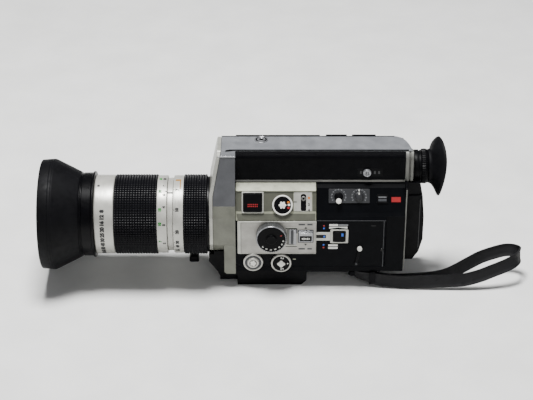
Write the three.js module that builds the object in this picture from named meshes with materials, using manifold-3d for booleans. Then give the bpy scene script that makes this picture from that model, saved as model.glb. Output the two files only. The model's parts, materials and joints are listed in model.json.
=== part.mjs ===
// A cine camera for drop-in film cartridges: zoom lens with a rubber hood, fold-up grip, film door, finder.
// Millimetres, +Z up. The lens looks along -X, the control side faces -Y, the camera stands on Z = 0.
// The origin is on the tripod seat, on the centre plane of the body.
import * as THREE from "three";
import { mergeVertices } from "three/addons/utils/BufferGeometryUtils.js";
import Module from "manifold-3d";

// ---------------------------------------------------------------- driving dimensions
const LENS_Z = 66; // height of the optical axis
const SEAT_Z = 17; // underside of the housings, top of the base
const TOP_Z = 138;
const SKIN = 2; // wall of a moulded housing
const GAP = 0.3; // clearance between pieces that move or that lie on a slanted face
const FRONT_X = 6.5; // the housings run from here ...
const REAR_X = 168; // ... to here
const WALL = 26; // distance of the left wall from the centre plane
const PLATEAU = 28.25; // raised control field on the left wall
const PANEL = 29; // face of the silver side panel
const RIGHT = 29; // right wall
const UPPER = 8; // left wall of the viewfinder housing
const CHANNEL = 17.5; // half width of the channel that takes the folded grip
const CHANNEL_Z = 35.5; // ceiling of that channel
const CONSOLE_TILT = 30; // degrees that the console leans back
const CONSOLE = [23.8, 81.1]; // lower edge of the console, [distance from centre plane, height]
const BARREL = 33.5; // outer radius of the fixed lens tube
const BORE = BARREL + GAP; // inner radius of the rings that turn on it
const SPIGOT = 27; // radius of the lens tube's rear end, in the front plate
const FLANGE = 36.5; // radius of the ring at the root of the lens
const SHROUD = 34.8; // radius of the front casting around the lens
const SCALE_R = 37.6; // radius of the rings with numbers
const GRIP_R = 38.3; // radius of the rings that are turned by hand
const EYE = { y: 10.5, z: 113.3, r: 15.5 }; // eyepiece axis and radius
const PIVOT = { x: 36, z: 22, r: 2.5 }; // hinge of the grip
const GRIP = { half: 16.5, thick: 12, end: 150 }; // half width, half thickness, far end
const DOOR_PIN = { x: 82, y: 31.5, r: 1.2 };

const LENS_SIDES = 36;
const DIAL_SIDES = 20;

// ---------------------------------------------------------------- solids
const wasm = await Module();
wasm.setup();

function solidOf(geometry) {
  const bare = geometry.clone();
  bare.deleteAttribute("normal");
  bare.deleteAttribute("uv");
  const merged = mergeVertices(bare, 1e-4);
  const corners = merged.index.array;
  const triVerts = [];
  for (let i = 0; i < corners.length; i += 3) {
    const [a, b, c] = [corners[i], corners[i + 1], corners[i + 2]];
    if (a !== b && b !== c && c !== a) triVerts.push(a, b, c);
  }
  return new wasm.Manifold(
    new wasm.Mesh({
      numProp: 3,
      vertProperties: merged.attributes.position.array,
      triVerts: new Uint32Array(triVerts),
    }),
  );
}

function geometryOf(solid) {
  const mesh = solid.getMesh();
  const geometry = new THREE.BufferGeometry();
  geometry.setAttribute("position", new THREE.BufferAttribute(mesh.vertProperties, 3));
  geometry.setIndex(new THREE.BufferAttribute(mesh.triVerts, 1));
  return geometry;
}

const join = (...pieces) => geometryOf(pieces.map(solidOf).reduce((a, b) => a.add(b)));
const cut = (piece, ...tools) =>
  geometryOf(tools.map(solidOf).reduce((a, b) => a.subtract(b), solidOf(piece)));
const common = (piece, tool) => geometryOf(solidOf(piece).intersect(solidOf(tool)));

// A prism from an outline. The axes say which world axes carry outline x, outline y and the extrusion.
function prism(outline, from, to, axes) {
  const shape = new THREE.Shape(outline.map(([a, b]) => new THREE.Vector2(a, b)));
  const geometry = new THREE.ExtrudeGeometry(shape, { depth: to - from, bevelEnabled: false });
  geometry.translate(0, 0, from);
  return geometry.applyMatrix4(new THREE.Matrix4().makeBasis(...axes));
}

const X = new THREE.Vector3(1, 0, 0);
const Y = new THREE.Vector3(0, 1, 0);
const Z = new THREE.Vector3(0, 0, 1);
const LEFT = new THREE.Vector3(0, -1, 0);

const alongX = (outlineYZ, x0, x1) => prism(outlineYZ, x0, x1, [Y, Z, X]);
const alongZ = (outlineXY, z0, z1) => prism(outlineXY, z0, z1, [X, Y, Z]);
// outline in X and Z, extruded from y0 up to y1
const alongY = (outlineXZ, y0, y1) => prism(outlineXZ, -y1, -y0, [X, Z, LEFT]);

function box([x0, x1], [y0, y1], [z0, z1]) {
  const geometry = new THREE.BoxGeometry(x1 - x0, y1 - y0, z1 - z0);
  return geometry.translate((x0 + x1) / 2, (y0 + y1) / 2, (z0 + z1) / 2);
}

// A turned piece about +Z: points are [height, radius], from the axis to the axis.
function turned(points, sides = DIAL_SIDES) {
  const profile = points.map(([height, radius]) => new THREE.Vector2(radius, height));
  if (THREE.ShapeUtils.area(profile) < 0) profile.reverse(); // so that the faces point out
  return new THREE.LatheGeometry(profile, sides).rotateX(Math.PI / 2);
}

// A turned ring: the profile is a loop that is closed here.
const ring = (points, sides = DIAL_SIDES) => turned([...points, points[0]], sides);
const rod = (radius, from, to, sides = DIAL_SIDES) =>
  turned([[from, 0], [from, radius], [to, radius], [to, 0]], sides);

const aboutX = (geometry, y, z) => geometry.rotateY(Math.PI / 2).translate(0, y, z);
const aboutY = (geometry, x, z) => geometry.rotateX(-Math.PI / 2).translate(x, 0, z);
const lensTurned = (points) => aboutX(ring(points, LENS_SIDES), 0, LENS_Z);

function arc(centre, radius, fromDeg, toDeg, steps) {
  return Array.from({ length: steps + 1 }, (_, i) => {
    const angle = THREE.MathUtils.degToRad(fromDeg + ((toDeg - fromDeg) * i) / steps);
    return [centre[0] + radius * Math.cos(angle), centre[1] + radius * Math.sin(angle)];
  });
}

// ---------------------------------------------------------------- the faces that carry controls
// On a face, local x runs rearwards, local y up the face and local z out of it.
function face(tiltDeg, out, z) {
  const tilt = THREE.MathUtils.degToRad(tiltDeg);
  const up = new THREE.Vector3(0, Math.sin(tilt), Math.cos(tilt));
  const outward = new THREE.Vector3(0, -Math.cos(tilt), Math.sin(tilt));
  return new THREE.Matrix4().makeBasis(X, up, outward).setPosition(0, -out, z);
}

const FACES = {
  console: face(CONSOLE_TILT, CONSOLE[0], CONSOLE[1]),
  panel: face(0, PANEL, 0),
  plateau: face(0, PLATEAU, 0),
  upper: face(0, UPPER, 0),
  top: face(90, 0, TOP_Z),
};

const on = (faceName, geometry) => geometry.applyMatrix4(FACES[faceName]);

// ---------------------------------------------------------------- materials and the tree
const FINISHES = {
  silver: [0xa6a8ab, 0.38, 0.7],
  olive: [0xb4b7a4, 0.42, 0.55],
  grey: [0x62666a, 0.5, 0.4],
  black: [0x17191c, 0.55, 0.0],
  chrome: [0xc9cbcd, 0.18, 1.0],
  barrel: [0xbebcb8, 0.35, 0.7],
  rubber: [0x141517, 0.85, 0.0],
  glass: [0x2b3550, 0.05, 0.0],
  steel: [0x9a9da0, 0.3, 0.9],
  white: [0xe4e4de, 0.5, 0.0],
  cloth: [0x2c2e31, 0.8, 0.0],
  board: [0x2f5a38, 0.6, 0.0],
};

const camera = new THREE.Group();

function add(name, finish, geometry) {
  const [color, roughness, metalness] = FINISHES[finish];
  const material = new THREE.MeshStandardMaterial({ color, roughness, metalness, flatShading: true });
  const mesh = new THREE.Mesh(geometry, material);
  mesh.name = name;
  camera.add(mesh);
}

// ---------------------------------------------------------------- controls: where they are
// Place on the face [rearwards, up], then size.
const CONTROLS = {
  check: { at: [23, 9.8], half: 8.5 },
  mode: { at: [51.4, 7.3], r: 9.8 },
  slot: { at: [71.4, 9.6], half: 8, travel: 8 },
  speed: { at: [40.8, 59.4], r: 14.8 },
  lever: { at: [60, 58], half: 9 },
  slider: { at: [73.7, 58.8], half: 6.2 },
  dissolve: { at: [105.8, 58], half: 5.6 },
  cell: { at: [23.3, 29], r: 9.6 },
  main: { at: [50.3, 28.6], r: 9.8 },
  swing: { at: [122.9, 27.2], r: 2.4 },
  interval: { at: [104.9, 15.5], r: 3.4 },
  timer: { at: [124.3, 15.5], r: 3.4 },
  finder: { at: [131.7, 116.7], r: 4 },
};
const STEM = 1.8; // radius of a dial's stem
const THIN_STEM = 1.2; // radius of a small knob's stem

// A round hole along the face's normal, from deep inside to well outside the skin.
const holeAt = ([x, y], radius) => rod(radius + GAP, -6, 6, 12).translate(x, y, 0);
const slotAt = ([x, y], halfWidth, halfHeight) =>
  box([x - halfWidth, x + halfWidth], [y - halfHeight, y + halfHeight], [-6, 6]);

const CONSOLE_HOLES = () =>
  [
    holeAt(CONTROLS.mode.at, STEM),
    slotAt(CONTROLS.slot.at, 2.5, CONTROLS.slot.half),
    slotAt(CONTROLS.check.at, 2, 2),
  ].map((tool) => on("console", tool));

const PANEL_HOLES = () =>
  [
    holeAt(CONTROLS.speed.at, STEM),
    slotAt(CONTROLS.lever.at, 1.5, CONTROLS.lever.half),
    slotAt(CONTROLS.slider.at, 1.5, CONTROLS.slider.half - 1),
  ].map((tool) => on("panel", tool));

const REAR_HOLES = () =>
  [
    ...["interval", "timer"].map((name) => on("console", holeAt(CONTROLS[name].at, THIN_STEM))),
    ...["cell", "main"].map((name) => on("plateau", holeAt(CONTROLS[name].at, STEM))),
    on("plateau", holeAt(CONTROLS.swing.at, THIN_STEM)),
    on("plateau", slotAt(CONTROLS.dissolve.at, 2, 2)),
    on("upper", slotAt(CONTROLS.finder.at, 5, 1.5)),
  ];

// ---------------------------------------------------------------- housings
// Points are [distance from the centre plane, height]; the side says which way the distance runs.
const mirrored = (points, side) => points.map(([out, z]) => [side * out, z]);
const [CONSOLE_OUT, CONSOLE_Z] = CONSOLE;
const rad = THREE.MathUtils.degToRad(CONSOLE_TILT);
// A point on the console's slope, lifted off it by some distance.
const onConsole = (up, lift = 0) => [
  CONSOLE_OUT - up * Math.sin(rad) + lift * Math.cos(rad),
  CONSOLE_Z + up * Math.cos(rad) + lift * Math.sin(rad),
];
const CONSOLE_TOP = 23.8; // length of the slope
const LEDGE = [UPPER, 104.9]; // where the slope's upper ledge meets the viewfinder housing
const COVER_Z = 136.75; // underside of the top cover
const CORNER = { x: 160, y: 18, drop: 1.8 }; // the rear right corner of the top falls away from here

const leftOuter = [
  [0, CHANNEL_Z], [CHANNEL, CHANNEL_Z], [CHANNEL, SEAT_Z], [WALL, SEAT_Z], [WALL, 78.3],
  CONSOLE, onConsole(CONSOLE_TOP), LEDGE, [UPPER, 132.75], [4, COVER_Z], [0, COVER_Z],
];
const leftInner = [
  [0, COVER_Z - SKIN], [3.2, COVER_Z - SKIN], [UPPER - SKIN, 131.9], [UPPER - SKIN, 103.9],
  onConsole(CONSOLE_TOP - 1, -SKIN), onConsole(0, -SKIN),
  [WALL - SKIN, 77.6], [WALL - SKIN, SEAT_Z + SKIN],
  [CHANNEL + SKIN, SEAT_Z + SKIN], [CHANNEL + SKIN, CHANNEL_Z + SKIN], [0, CHANNEL_Z + SKIN],
];
const rightOuter = [
  [0, CHANNEL_Z], [CHANNEL, CHANNEL_Z], [CHANNEL, SEAT_Z], [RIGHT, SEAT_Z], [RIGHT, 132.75],
  [25, COVER_Z], [0, COVER_Z],
];
const rightInner = [
  [0, COVER_Z - SKIN], [24.2, COVER_Z - SKIN], [RIGHT - SKIN, 131.9], [RIGHT - SKIN, SEAT_Z + SKIN],
  [CHANNEL + SKIN, SEAT_Z + SKIN], [CHANNEL + SKIN, CHANNEL_Z + SKIN], [0, CHANNEL_Z + SKIN],
];

const PLATEAU_END = 151;
// Open on the right, where the pin goes in, and blind on the left.
const pivotHole = aboutY(rod(PIVOT.r + GAP, -24, 40, 16), PIVOT.x, PIVOT.z);
const cartridgeMouth = box([REAR_X - 5, REAR_X + 5], [-10, RIGHT + 1], [38, 90]);
const eyepieceBore = aboutX(rod(EYE.r + GAP, REAR_X - 5, 240, 32), EYE.y, EYE.z);
const SOCKET = [31.2, 17.5]; // cable release socket on the top, [rearwards, to the right]
const socketHole = () => on("top", holeAt(SOCKET, 3));
const sightHole = aboutX(rod(11, REAR_X - 5, REAR_X + 5, 24), EYE.y, EYE.z);

// Raised control field, with a bevel down to the wall at its rear end.
function plateau() {
  const section = [
    [WALL - 1, 21], [WALL, 22], [PLATEAU, 24.25], [PLATEAU, 75.25], CONSOLE, [WALL - 3, 79],
  ];
  const field = alongX(mirrored(section, -1), FRONT_X, PLATEAU_END);
  const bevel = alongZ([[PLATEAU_END, -WALL], [PLATEAU_END - 2.5, -30], [PLATEAU_END + 1, -30]], 0, 90);
  return cut(field, bevel);
}

function leftHousing() {
  const shell = alongX(mirrored([...leftOuter, ...leftInner], -1), FRONT_X, REAR_X);
  const rearWall = alongX(mirrored(leftOuter, -1), REAR_X - SKIN, REAR_X);
  const inside = alongX(mirrored(leftInner, -1), FRONT_X - 1, REAR_X - SKIN);
  return cut(
    join(shell, cut(plateau(), inside), rearWall),
    ...CONSOLE_HOLES(), ...PANEL_HOLES(), ...REAR_HOLES(), pivotHole, cartridgeMouth, sightHole,
  );
}

const DOOR = { x: [85, REAR_X - GAP], z: [24.5, 110.5], hingeZ: [45, 90] };
const LUG = 6.5; // height of each hinge lug
const KNUCKLE = 2.5; // outer radius of the door hinge
const hingeBore = () =>
  rod(DOOR_PIN.r + GAP, 20, 120, 12).translate(DOOR_PIN.x, DOOR_PIN.y, 0);

// The zoom buttons stand over the bevel at the right edge of the top, each on a stem.
const ZOOM_BUTTONS = { tele_button: [93.3, 113.5], wide_button: [118.3, 141.3] };
const ZOOM_STROKE = 1;
const zoomStem = ([x0, x1], clearance, stroke) => {
  const middle = (x0 + x1) / 2;
  const half = 2 + clearance;
  const foot = -5.6 - clearance - stroke;
  return box([middle - half, middle + half], [26.2 - clearance, 27.6 + clearance], [foot, -0.4]);
};

function rightHousing() {
  const shell = alongX([...rightOuter, ...rightInner], FRONT_X, REAR_X);
  const rearWall = alongX(rightOuter, REAR_X - SKIN, REAR_X);
  const doorway = box(
    [DOOR.x[0] - GAP, REAR_X + 1],
    [RIGHT - SKIN, RIGHT + 1],
    [DOOR.z[0] - GAP, DOOR.z[1] + GAP],
  );
  const lugs = [DOOR.hingeZ[0] - GAP - LUG, DOOR.hingeZ[1] + GAP].map((z) =>
    box(
      [DOOR_PIN.x - KNUCKLE, DOOR_PIN.x + KNUCKLE],
      [RIGHT - 1, DOOR_PIN.y + KNUCKLE],
      [z, z + LUG],
    ),
  );
  const stemSlots = Object.values(ZOOM_BUTTONS).map((span) =>
    on("top", zoomStem(span, GAP, ZOOM_STROKE)),
  );
  const slopingCorner = alongY(
    [
      [CORNER.x, COVER_Z], [REAR_X + 1, COVER_Z - CORNER.drop],
      [REAR_X + 1, COVER_Z + 1], [CORNER.x, COVER_Z + 1],
    ],
    CORNER.y,
    RIGHT + 1,
  );
  return cut(
    join(shell, rearWall, ...lugs),
    doorway, hingeBore(), pivotHole, cartridgeMouth, sightHole, socketHole(), ...stemSlots,
    slopingCorner,
  );
}

add("left_housing", "black", leftHousing());
add("right_housing", "black", rightHousing());

// Silver panels on the control side.
const SLOPE_PANEL = 1.3; // how far the console panel stands off the slope
const SILVER_END = 83.75; // rear end of both panels
const SIDE_PANEL = { front: 8.4, foot: 38.75, top: 75.2 };

function consolePanel() {
  const outline = [
    [PANEL, 75.5], onConsole(0, SLOPE_PANEL), onConsole(20.6, SLOPE_PANEL), [15.6, 100.4],
    [UPPER + GAP, 105.9], [UPPER + GAP, 105.25],
    onConsole(CONSOLE_TOP + 0.2, GAP), onConsole(0.15, GAP), [PLATEAU + GAP, 75.5],
  ];
  return cut(alongX(mirrored(outline, -1), FRONT_X + GAP, SILVER_END - GAP), ...CONSOLE_HOLES());
}

function sidePanel() {
  const { front, foot, top } = SIDE_PANEL;
  const plate = box([front, SILVER_END], [-PANEL, -PLATEAU], [foot, top]);
  return cut(plate, ...PANEL_HOLES());
}

add("console_panel", "olive", consolePanel());
add("side_panel", "silver", sidePanel());

// ---------------------------------------------------------------- top, front and base
const FRONT_TOP_X = -10.25;
const FRONT_LOW_X = -18.5; // face of the front plate below the slant
const SLANT_Z = 98; // the front leans back above this height
const PLATE = 3.5;
// Everything in front of the front plate's rear face.
const aheadOfPlate = (clearance) =>
  alongY(
    [
      [-60, 0], [FRONT_LOW_X + PLATE + clearance, 0], [FRONT_LOW_X + PLATE + clearance, SLANT_Z],
      [FRONT_TOP_X + PLATE + clearance, TOP_Z + 1], [-60, TOP_Z + 1],
    ],
    -60,
    60,
  );

const COVER_EDGE = [UPPER, 132.75];
const SEAM = [26.5, 89.5]; // joint between the upper and lower front castings
const castingUpper = [COVER_EDGE, SEAM, [-31, SEAM[1]], [-RIGHT, 132.75]];
const castingLower = [
  SEAM, [31, 79], [31, 50.2], ...arc([0, LENS_Z], SHROUD, -30, -150, 10), [-31, 50.2], [-31, SEAM[1]],
];
const castingBore = [
  [6.2, 130], [24, 89.5], [28.5, 79], [28.5, 52], ...arc([0, LENS_Z], SHROUD - 2.5, -30, -150, 10),
  [-28.5, 52], [-26.5, 89.5], [-26.5, 130],
];

const COVER_REAR = 174.5; // the top cover reaches over the frame behind the housings
// The flat of the top cover seen from above, with its rear right corner rounded off.
const COVER_OUTLINE = [
  [FRONT_X, -4], [COVER_REAR, -4], [COVER_REAR, -2], [172.5, 7], [170, 15], [168, 18.5], [165, 22.5],
  [CORNER.x, 25], [FRONT_X, 25],
];

function topCover() {
  const plate = alongZ(COVER_OUTLINE, COVER_Z, TOP_Z);
  const hood = alongX(
    mirrored([COVER_EDGE, [4, TOP_Z], [-25, TOP_Z], [-RIGHT, 132.75]], -1),
    FRONT_LOW_X,
    FRONT_X,
  );
  const hollow = alongX(
    mirrored([[UPPER - 3, 132], [3, COVER_Z], [-24, COVER_Z], [-RIGHT + 3, 132]], -1),
    FRONT_LOW_X - 1,
    FRONT_X,
  );
  const rearBevel = alongY(
    [[COVER_REAR - 4, TOP_Z + 1], [COVER_REAR + 1, TOP_Z + 1], [COVER_REAR + 1, COVER_Z]],
    -40,
    40,
  );
  return cut(join(plate, hood), hollow, aheadOfPlate(GAP), rearBevel, socketHole());
}

function frontUpperCasting() {
  const block = alongX(mirrored(castingUpper, -1), FRONT_LOW_X, FRONT_X);
  const bore = alongX(mirrored(castingBore, -1), FRONT_LOW_X - 1, FRONT_X + 1);
  return cut(block, bore, aheadOfPlate(GAP));
}

function frontCasting() {
  const block = alongX(mirrored(castingLower, -1), FRONT_LOW_X, FRONT_X);
  const legs = [-1, 1].map((side) =>
    alongY(
      [[FRONT_X, 16], [-2.5, 16], [-4.5, 18], [-4.5, 55], [FRONT_X, 55]],
      ...(side < 0 ? [-29.5, -26.5] : [26.5, 29.5]),
    ),
  );
  const bore = alongX(mirrored(castingBore, -1), FRONT_LOW_X - 1, FRONT_X + 1);
  return join(cut(block, bore, aheadOfPlate(GAP)), ...legs);
}

function frontPlate() {
  const sheet = alongY(
    [
      [FRONT_LOW_X, 33], [FRONT_LOW_X + PLATE, 33], [FRONT_LOW_X + PLATE, SLANT_Z],
      [FRONT_TOP_X + PLATE, TOP_Z + 1], [FRONT_TOP_X, TOP_Z + 1], [FRONT_LOW_X, SLANT_Z],
    ],
    -40,
    40,
  );
  const rim = [
    [4, 137.5], [UPPER, 133.5], [26.9, SEAM[1]], [31.5, 79], [31.5, 50.5], [24, 40], [16, 35.5],
    [-16, 35.5], [-24, 40], [-31.5, 50.5], [-31.5, 90], [-RIGHT, 133.5], [-25, 137.5],
  ];
  const outline = alongX(mirrored(rim, -1), -40, 20);
  const lensHole = aboutX(rod(SPIGOT + GAP, -40, 20, LENS_SIDES), 0, LENS_Z);
  return cut(common(sheet, outline), lensHole);
}

const BLOCK_END = 16.8; // the trigger swings past here when the grip is down

function baseFrame() {
  const nose = alongY(
    [[-19.5, 36], [-19.5, 24], [-12, 14], [-9, 8], [-9, 4], [FRONT_X, 4], [FRONT_X, 36]],
    -20,
    20,
  );
  const block = box([-9, BLOCK_END], [-14, 14], [0, SEAT_Z]);
  const bridge = box([-4, BLOCK_END], [-24, 24], [11, SEAT_Z]);
  const skids = [-1, 1].map((side) =>
    alongY([[8, 0], [70, 0], [75, 5], [75, SEAT_Z], [8, SEAT_Z]], ...(side < 0 ? [-24, -18] : [18, 24])),
  );
  const lensRoom = aboutX(
    join(
      rod(SHROUD + GAP, -40, 40, LENS_SIDES),
      rod(FLANGE + GAP, -40, FRONT_LOW_X + PLATE, LENS_SIDES),
    ),
    0,
    LENS_Z,
  );
  const plateRoom = box([FRONT_LOW_X - GAP, FRONT_LOW_X + PLATE + GAP], [-40, 40], [32.5, 60]);
  const tripodSocket = rod(3.2, -1, 10, 16).translate(10, 0, 0);
  return cut(join(nose, block, bridge, ...skids), lensRoom, plateRoom, tripodSocket);
}

add("top_cover", "silver", topCover());
add("front_upper_casting", "grey", frontUpperCasting());
add("front_casting", "olive", frontCasting());
add("front_plate", "silver", frontPlate());
add("base_frame", "black", baseFrame());
add("release_socket", "chrome", on("top", ring([
  [-3, 2], [-3, 2.9], [0, 2.9], [0, 6], [0.8, 5.4], [0.8, 2],
]).translate(...SOCKET, 0)));

// A bright strip along the foot of the viewfinder housing.
add("side_trim", "chrome", box([FRONT_X, REAR_X], [-UPPER - 0.75, -UPPER], [106.5, 108.5]));

// Chrome frame around the rear of the viewfinder housing, with a strip down to the film door.
const FRAME_FOOT = 106.5;
const FRAME_SECTION = [
  [-UPPER - 0.75, FRAME_FOOT], [RIGHT - 1, FRAME_FOOT], [RIGHT - 1, 124],
  [0, COVER_Z], [-4.5, COVER_Z], [-UPPER - 0.75, 132.5],
];
const STRIP_REAR = 170.5; // rear edge of the upright strip and of its link to the frame

// The frame's section drawn in towards its middle, for the groove between its two hoops.
function drawnIn(share) {
  const [midY, midZ] = [EYE.y, 121.5];
  return FRAME_SECTION.map(([y, z]) => [midY + (y - midY) * share, midZ + (z - midZ) * share]);
}

function rearBezel() {
  const hoops = [[REAR_X, 172], [172.5, 176]].map((span) => alongX(FRAME_SECTION, ...span));
  const neck = alongX(drawnIn(0.95), 171.5, 173);
  const strip = box([REAR_X, STRIP_REAR], [-WALL + 2, -WALL + 3.25], [18, 100]);
  const link = box([REAR_X, STRIP_REAR], [-WALL + 2, -UPPER + 2], [99, 108]);
  return cut(join(...hoops, neck, strip, link), eyepieceBore);
}

add("rear_bezel", "chrome", rearBezel());

// ---------------------------------------------------------------- viewfinder
const MOUNT_Z = 93; // underside of the eyepiece mount, just above the film door's rear box
function eyepieceMount() {
  return cut(box([STRIP_REAR + GAP, 183], [-10, 24], [MOUNT_Z, FRAME_FOOT - GAP]), eyepieceBore);
}

const CUP = { rim: 28.5, reach: 5, lean: THREE.MathUtils.degToRad(50) };

// The cup's rim reaches further back on two sides. It is free to turn, and stands leaning.
function saddled(geometry) {
  const place = geometry.attributes.position;
  for (let i = 0; i < place.count; i++) {
    const y = place.getY(i) - EYE.y;
    const z = place.getZ(i) - EYE.z;
    const flare = Math.max(0, Math.hypot(y, z) - EYE.r) / (CUP.rim - EYE.r);
    const side = Math.cos(Math.atan2(-y, z) - CUP.lean) ** 2;
    place.setX(i, place.getX(i) + CUP.reach * flare * side);
  }
  return geometry;
}

const eyeRing = (points) => aboutX(ring(points, 24), EYE.y, EYE.z);

add("eyepiece_mount", "black", eyepieceMount());
add("eyepiece_tube", "black", eyeRing([
  [REAR_X, 12], [188, 12], [188, 14], [184, 14], [184, EYE.r], [REAR_X, EYE.r],
]));
add("diopter_ring", "black", eyeRing([
  [184.3, 14.3], [190.5, 14.3], [190.5, 16.2], [187.4, 16.6], [184.3, 16.2],
]));
add("eyecup", "rubber", saddled(eyeRing([
  [190.8, 12.6], [195.5, 13.2], [198.5, 19], [202, 26.5], [201, CUP.rim],
  [199, 27], [195.5, 20], [193.5, 17], [190.8, 16],
])));
add("eyepiece_lens", "glass", aboutX(
  turned([[182, 0], [182, 11.7], [185, 11.7], [187, 6], [187.6, 0]], 24),
  EYE.y,
  EYE.z,
));

// ---------------------------------------------------------------- lens
add("lens_tube", "black", lensTurned([
  [-104, 30.5], [-104, BARREL], [-58.3, BARREL], [-58.3, 35], [-52.9, 35], [-52.9, BARREL],
  [-18.8, BARREL], [-18.8, SPIGOT], [-10, SPIGOT], [-10, SPIGOT - 3], [-21, SPIGOT - 3], [-24, 30.5],
]));

// A plain ring on the lens tube.
const sleeve = (from, to, radius) =>
  lensTurned([[from, BORE], [to, BORE], [to, radius], [from, radius]]);
add("lens_flange", "silver", sleeve(-20.5, -18.5, FLANGE));
add("zoom_scale_ring", "barrel", sleeve(-52.6, -43, SCALE_R));
add("zoom_grip", "rubber", sleeve(-43, -20.8, GRIP_R));
add("focus_scale_ring", "barrel", sleeve(-68, -58.6, SCALE_R));
add("focus_grip", "rubber", sleeve(-109, -68, GRIP_R));
add("front_ring", "barrel", lensTurned([
  [-127.9, 31], [-124, 31], [-124, BORE], [-109, BORE], [-109, 38], [-127.9, 38],
]));
add("lens_hood", "rubber", lensTurned([
  [-131.2, 27.5], [-125.7, 27.5], [-125.7, 30.7], [-128.2, 30.7], [-128.2, 40.4], [-142.3, 40.7],
  [-166.7, 53.1], [-180, 52.6], [-180, 49.8], [-167, 50], [-143, 37.8], [-131.2, 37],
]));
add("front_element", "glass", aboutX(
  turned([[-123.7, 0], [-122.6, 16], [-119.5, 33.5], [-112, 33.5], [-112, 0]], LENS_SIDES),
  0,
  LENS_Z,
));

// The zoom lever stands on the zoom grip and points down: a neck and a wider finger pad.
function zoomLever() {
  const x = -34.7;
  const [root, padTop, end] = [GRIP_R + 0.2, 46, 52.7].map((radius) => LENS_Z - radius);
  return join(
    box([x - 2.5, x + 2.5], [-3, 3], [end + 1, root]),
    box([x - 4.7, x + 4.7], [-4.2, 4.2], [end, padTop]),
  );
}
add("zoom_lever", "black", zoomLever());

// ---------------------------------------------------------------- controls
// A dial on a stem: the skirt, the face and the hub.
function dial(r, height, lift, stem) {
  return turned([
    [-5, 0], [-5, stem], [lift, stem], [lift, r], [lift + height * 0.7, r], [lift + height, r * 0.88],
    [lift + height, 0],
  ]);
}
const grooveAcross = (length, top) => box([-length, length], [-1.1, 1.1], [top - 1.2, top + 1]);
const put = ([x, y], geometry) => geometry.translate(x, y, 0);
const LIFT = SLOPE_PANEL + GAP; // controls clear the console panel by this much

function checkButton() {
  const { at, half } = CONTROLS.check;
  const cap = box([-half, half], [-half, half], [LIFT + 0.6, LIFT + 2.6]);
  return on("console", put(at, join(cap, box([-1.6, 1.6], [-1.6, 1.6], [-4, LIFT + 1]))));
}

function modeDial() {
  const { at, r } = CONTROLS.mode;
  return on("console", put(at, dial(r, 3.4, LIFT, STEM)));
}

function speedDial() {
  const { at, r } = CONTROLS.speed;
  return on("panel", put(at, dial(r, 8, GAP, STEM)));
}

function slotKnob() {
  const { at, travel } = CONTROLS.slot;
  return on("console", put([at[0], at[1] + travel / 2], turned([
    [-3, 0], [-3, 1.8], [LIFT, 1.8], [LIFT, 2.4], [LIFT + 1.6, 2.2], [LIFT + 1.6, 0],
  ], 16)));
}

function fadeLever() {
  const tab = join(box([-2.2, 2.2], [-3, 3], [GAP, 2.4]), box([-1.2, 1.2], [-2.6, 2.6], [-3, 1]));
  return on("panel", put(CONTROLS.lever.at, tab));
}

function fadeSlider() {
  const body = box([-6.4, 6.4], [-5.4, 5.4], [GAP, 1.8]);
  const ridge = box([-6.4, 6.4], [1, 3.4], [1, 3.2]);
  return on("panel", put(CONTROLS.slider.at, join(body, ridge, box([-1.2, 1.2], [-2, 2], [-3, 1]))));
}

function dissolveFrame() {
  const thickness = [0, 0.75];
  const frame = box([97.2, 114.5], [50.5, 65.5], thickness);
  const arm = box([SILVER_END, 97.5], [54, 62], thickness);
  const { at, half } = CONTROLS.dissolve;
  const window = slotAt(at, half + GAP, half + GAP);
  return on("plateau", cut(join(frame, arm), window));
}

function dissolveButton() {
  const { at, half } = CONTROLS.dissolve;
  const cap = box([-half, half], [-half, half], [1.2, 2.4]);
  return on("plateau", put(at, join(cap, box([-1.6, 1.6], [-1.6, 1.6], [-4, 2]))));
}

function cellCap() {
  const { at, r } = CONTROLS.cell;
  return on("plateau", put(at, cut(dial(r, 2.6, GAP, STEM), grooveAcross(r * 0.6, 2.9))));
}

function mainSwitch() {
  const { at, r } = CONTROLS.main;
  const key = box([-2.6, 2.6], [-5, 5], [2, 4.6]);
  return on("plateau", put(at, join(dial(r, 2.6, GAP, STEM), key)));
}

function swingLever() {
  const { at, r } = CONTROLS.swing;
  const knobFromPivot = [2.8, 17.6];
  const length = Math.hypot(...knobFromPivot);
  const lean = -Math.atan2(...knobFromPivot);
  const arm = join(
    rod(r, GAP, 1.6, 16),
    box([-1.3, 1.3], [0, length], [GAP, 1.6]),
    rod(2.75, GAP, 3.2, 16).translate(0, length, 0),
  ).rotateZ(lean);
  return on("plateau", put(at, join(arm, rod(THIN_STEM, -4, 1, 12))));
}

function instrumentPlate() {
  const plate = box([95.3, 134.5], [9.3, 22.8], [GAP, 1]);
  const holes = ["interval", "timer"].map((name) => holeAt(CONTROLS[name].at, THIN_STEM));
  return on("console", cut(plate, ...holes));
}

function smallKnob(name) {
  const { at, r } = CONTROLS[name];
  const pointer = box([-1, 1], [-r - 2, 0], [1.6, 3.2]);
  return on("console", put(at, join(dial(r, 2, 1 + GAP, THIN_STEM), pointer)));
}

add("check_button", "black", checkButton());
add("mode_dial", "black", modeDial());
add("slot_knob", "chrome", slotKnob());
add("speed_dial", "silver", speedDial());
add("fade_lever", "silver", fadeLever());
add("fade_slider", "silver", fadeSlider());
add("dissolve_frame", "silver", dissolveFrame());
add("dissolve_button", "black", dissolveButton());
add("cell_cap", "silver", cellCap());
add("main_switch", "black", mainSwitch());
add("swing_lever", "white", swingLever());
add("instrument_plate", "grey", instrumentPlate());
add("interval_knob", "black", smallKnob("interval"));
add("timer_knob", "black", smallKnob("timer"));
add("finder_shutter_knob", "silver", on("upper", put(CONTROLS.finder.at, turned([
  [-3, 0], [-3, 1.2], [GAP, 1.2], [GAP, 4], [2.2, 4], [2.8, 3.2], [2.8, 0],
], 20))));

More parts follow.
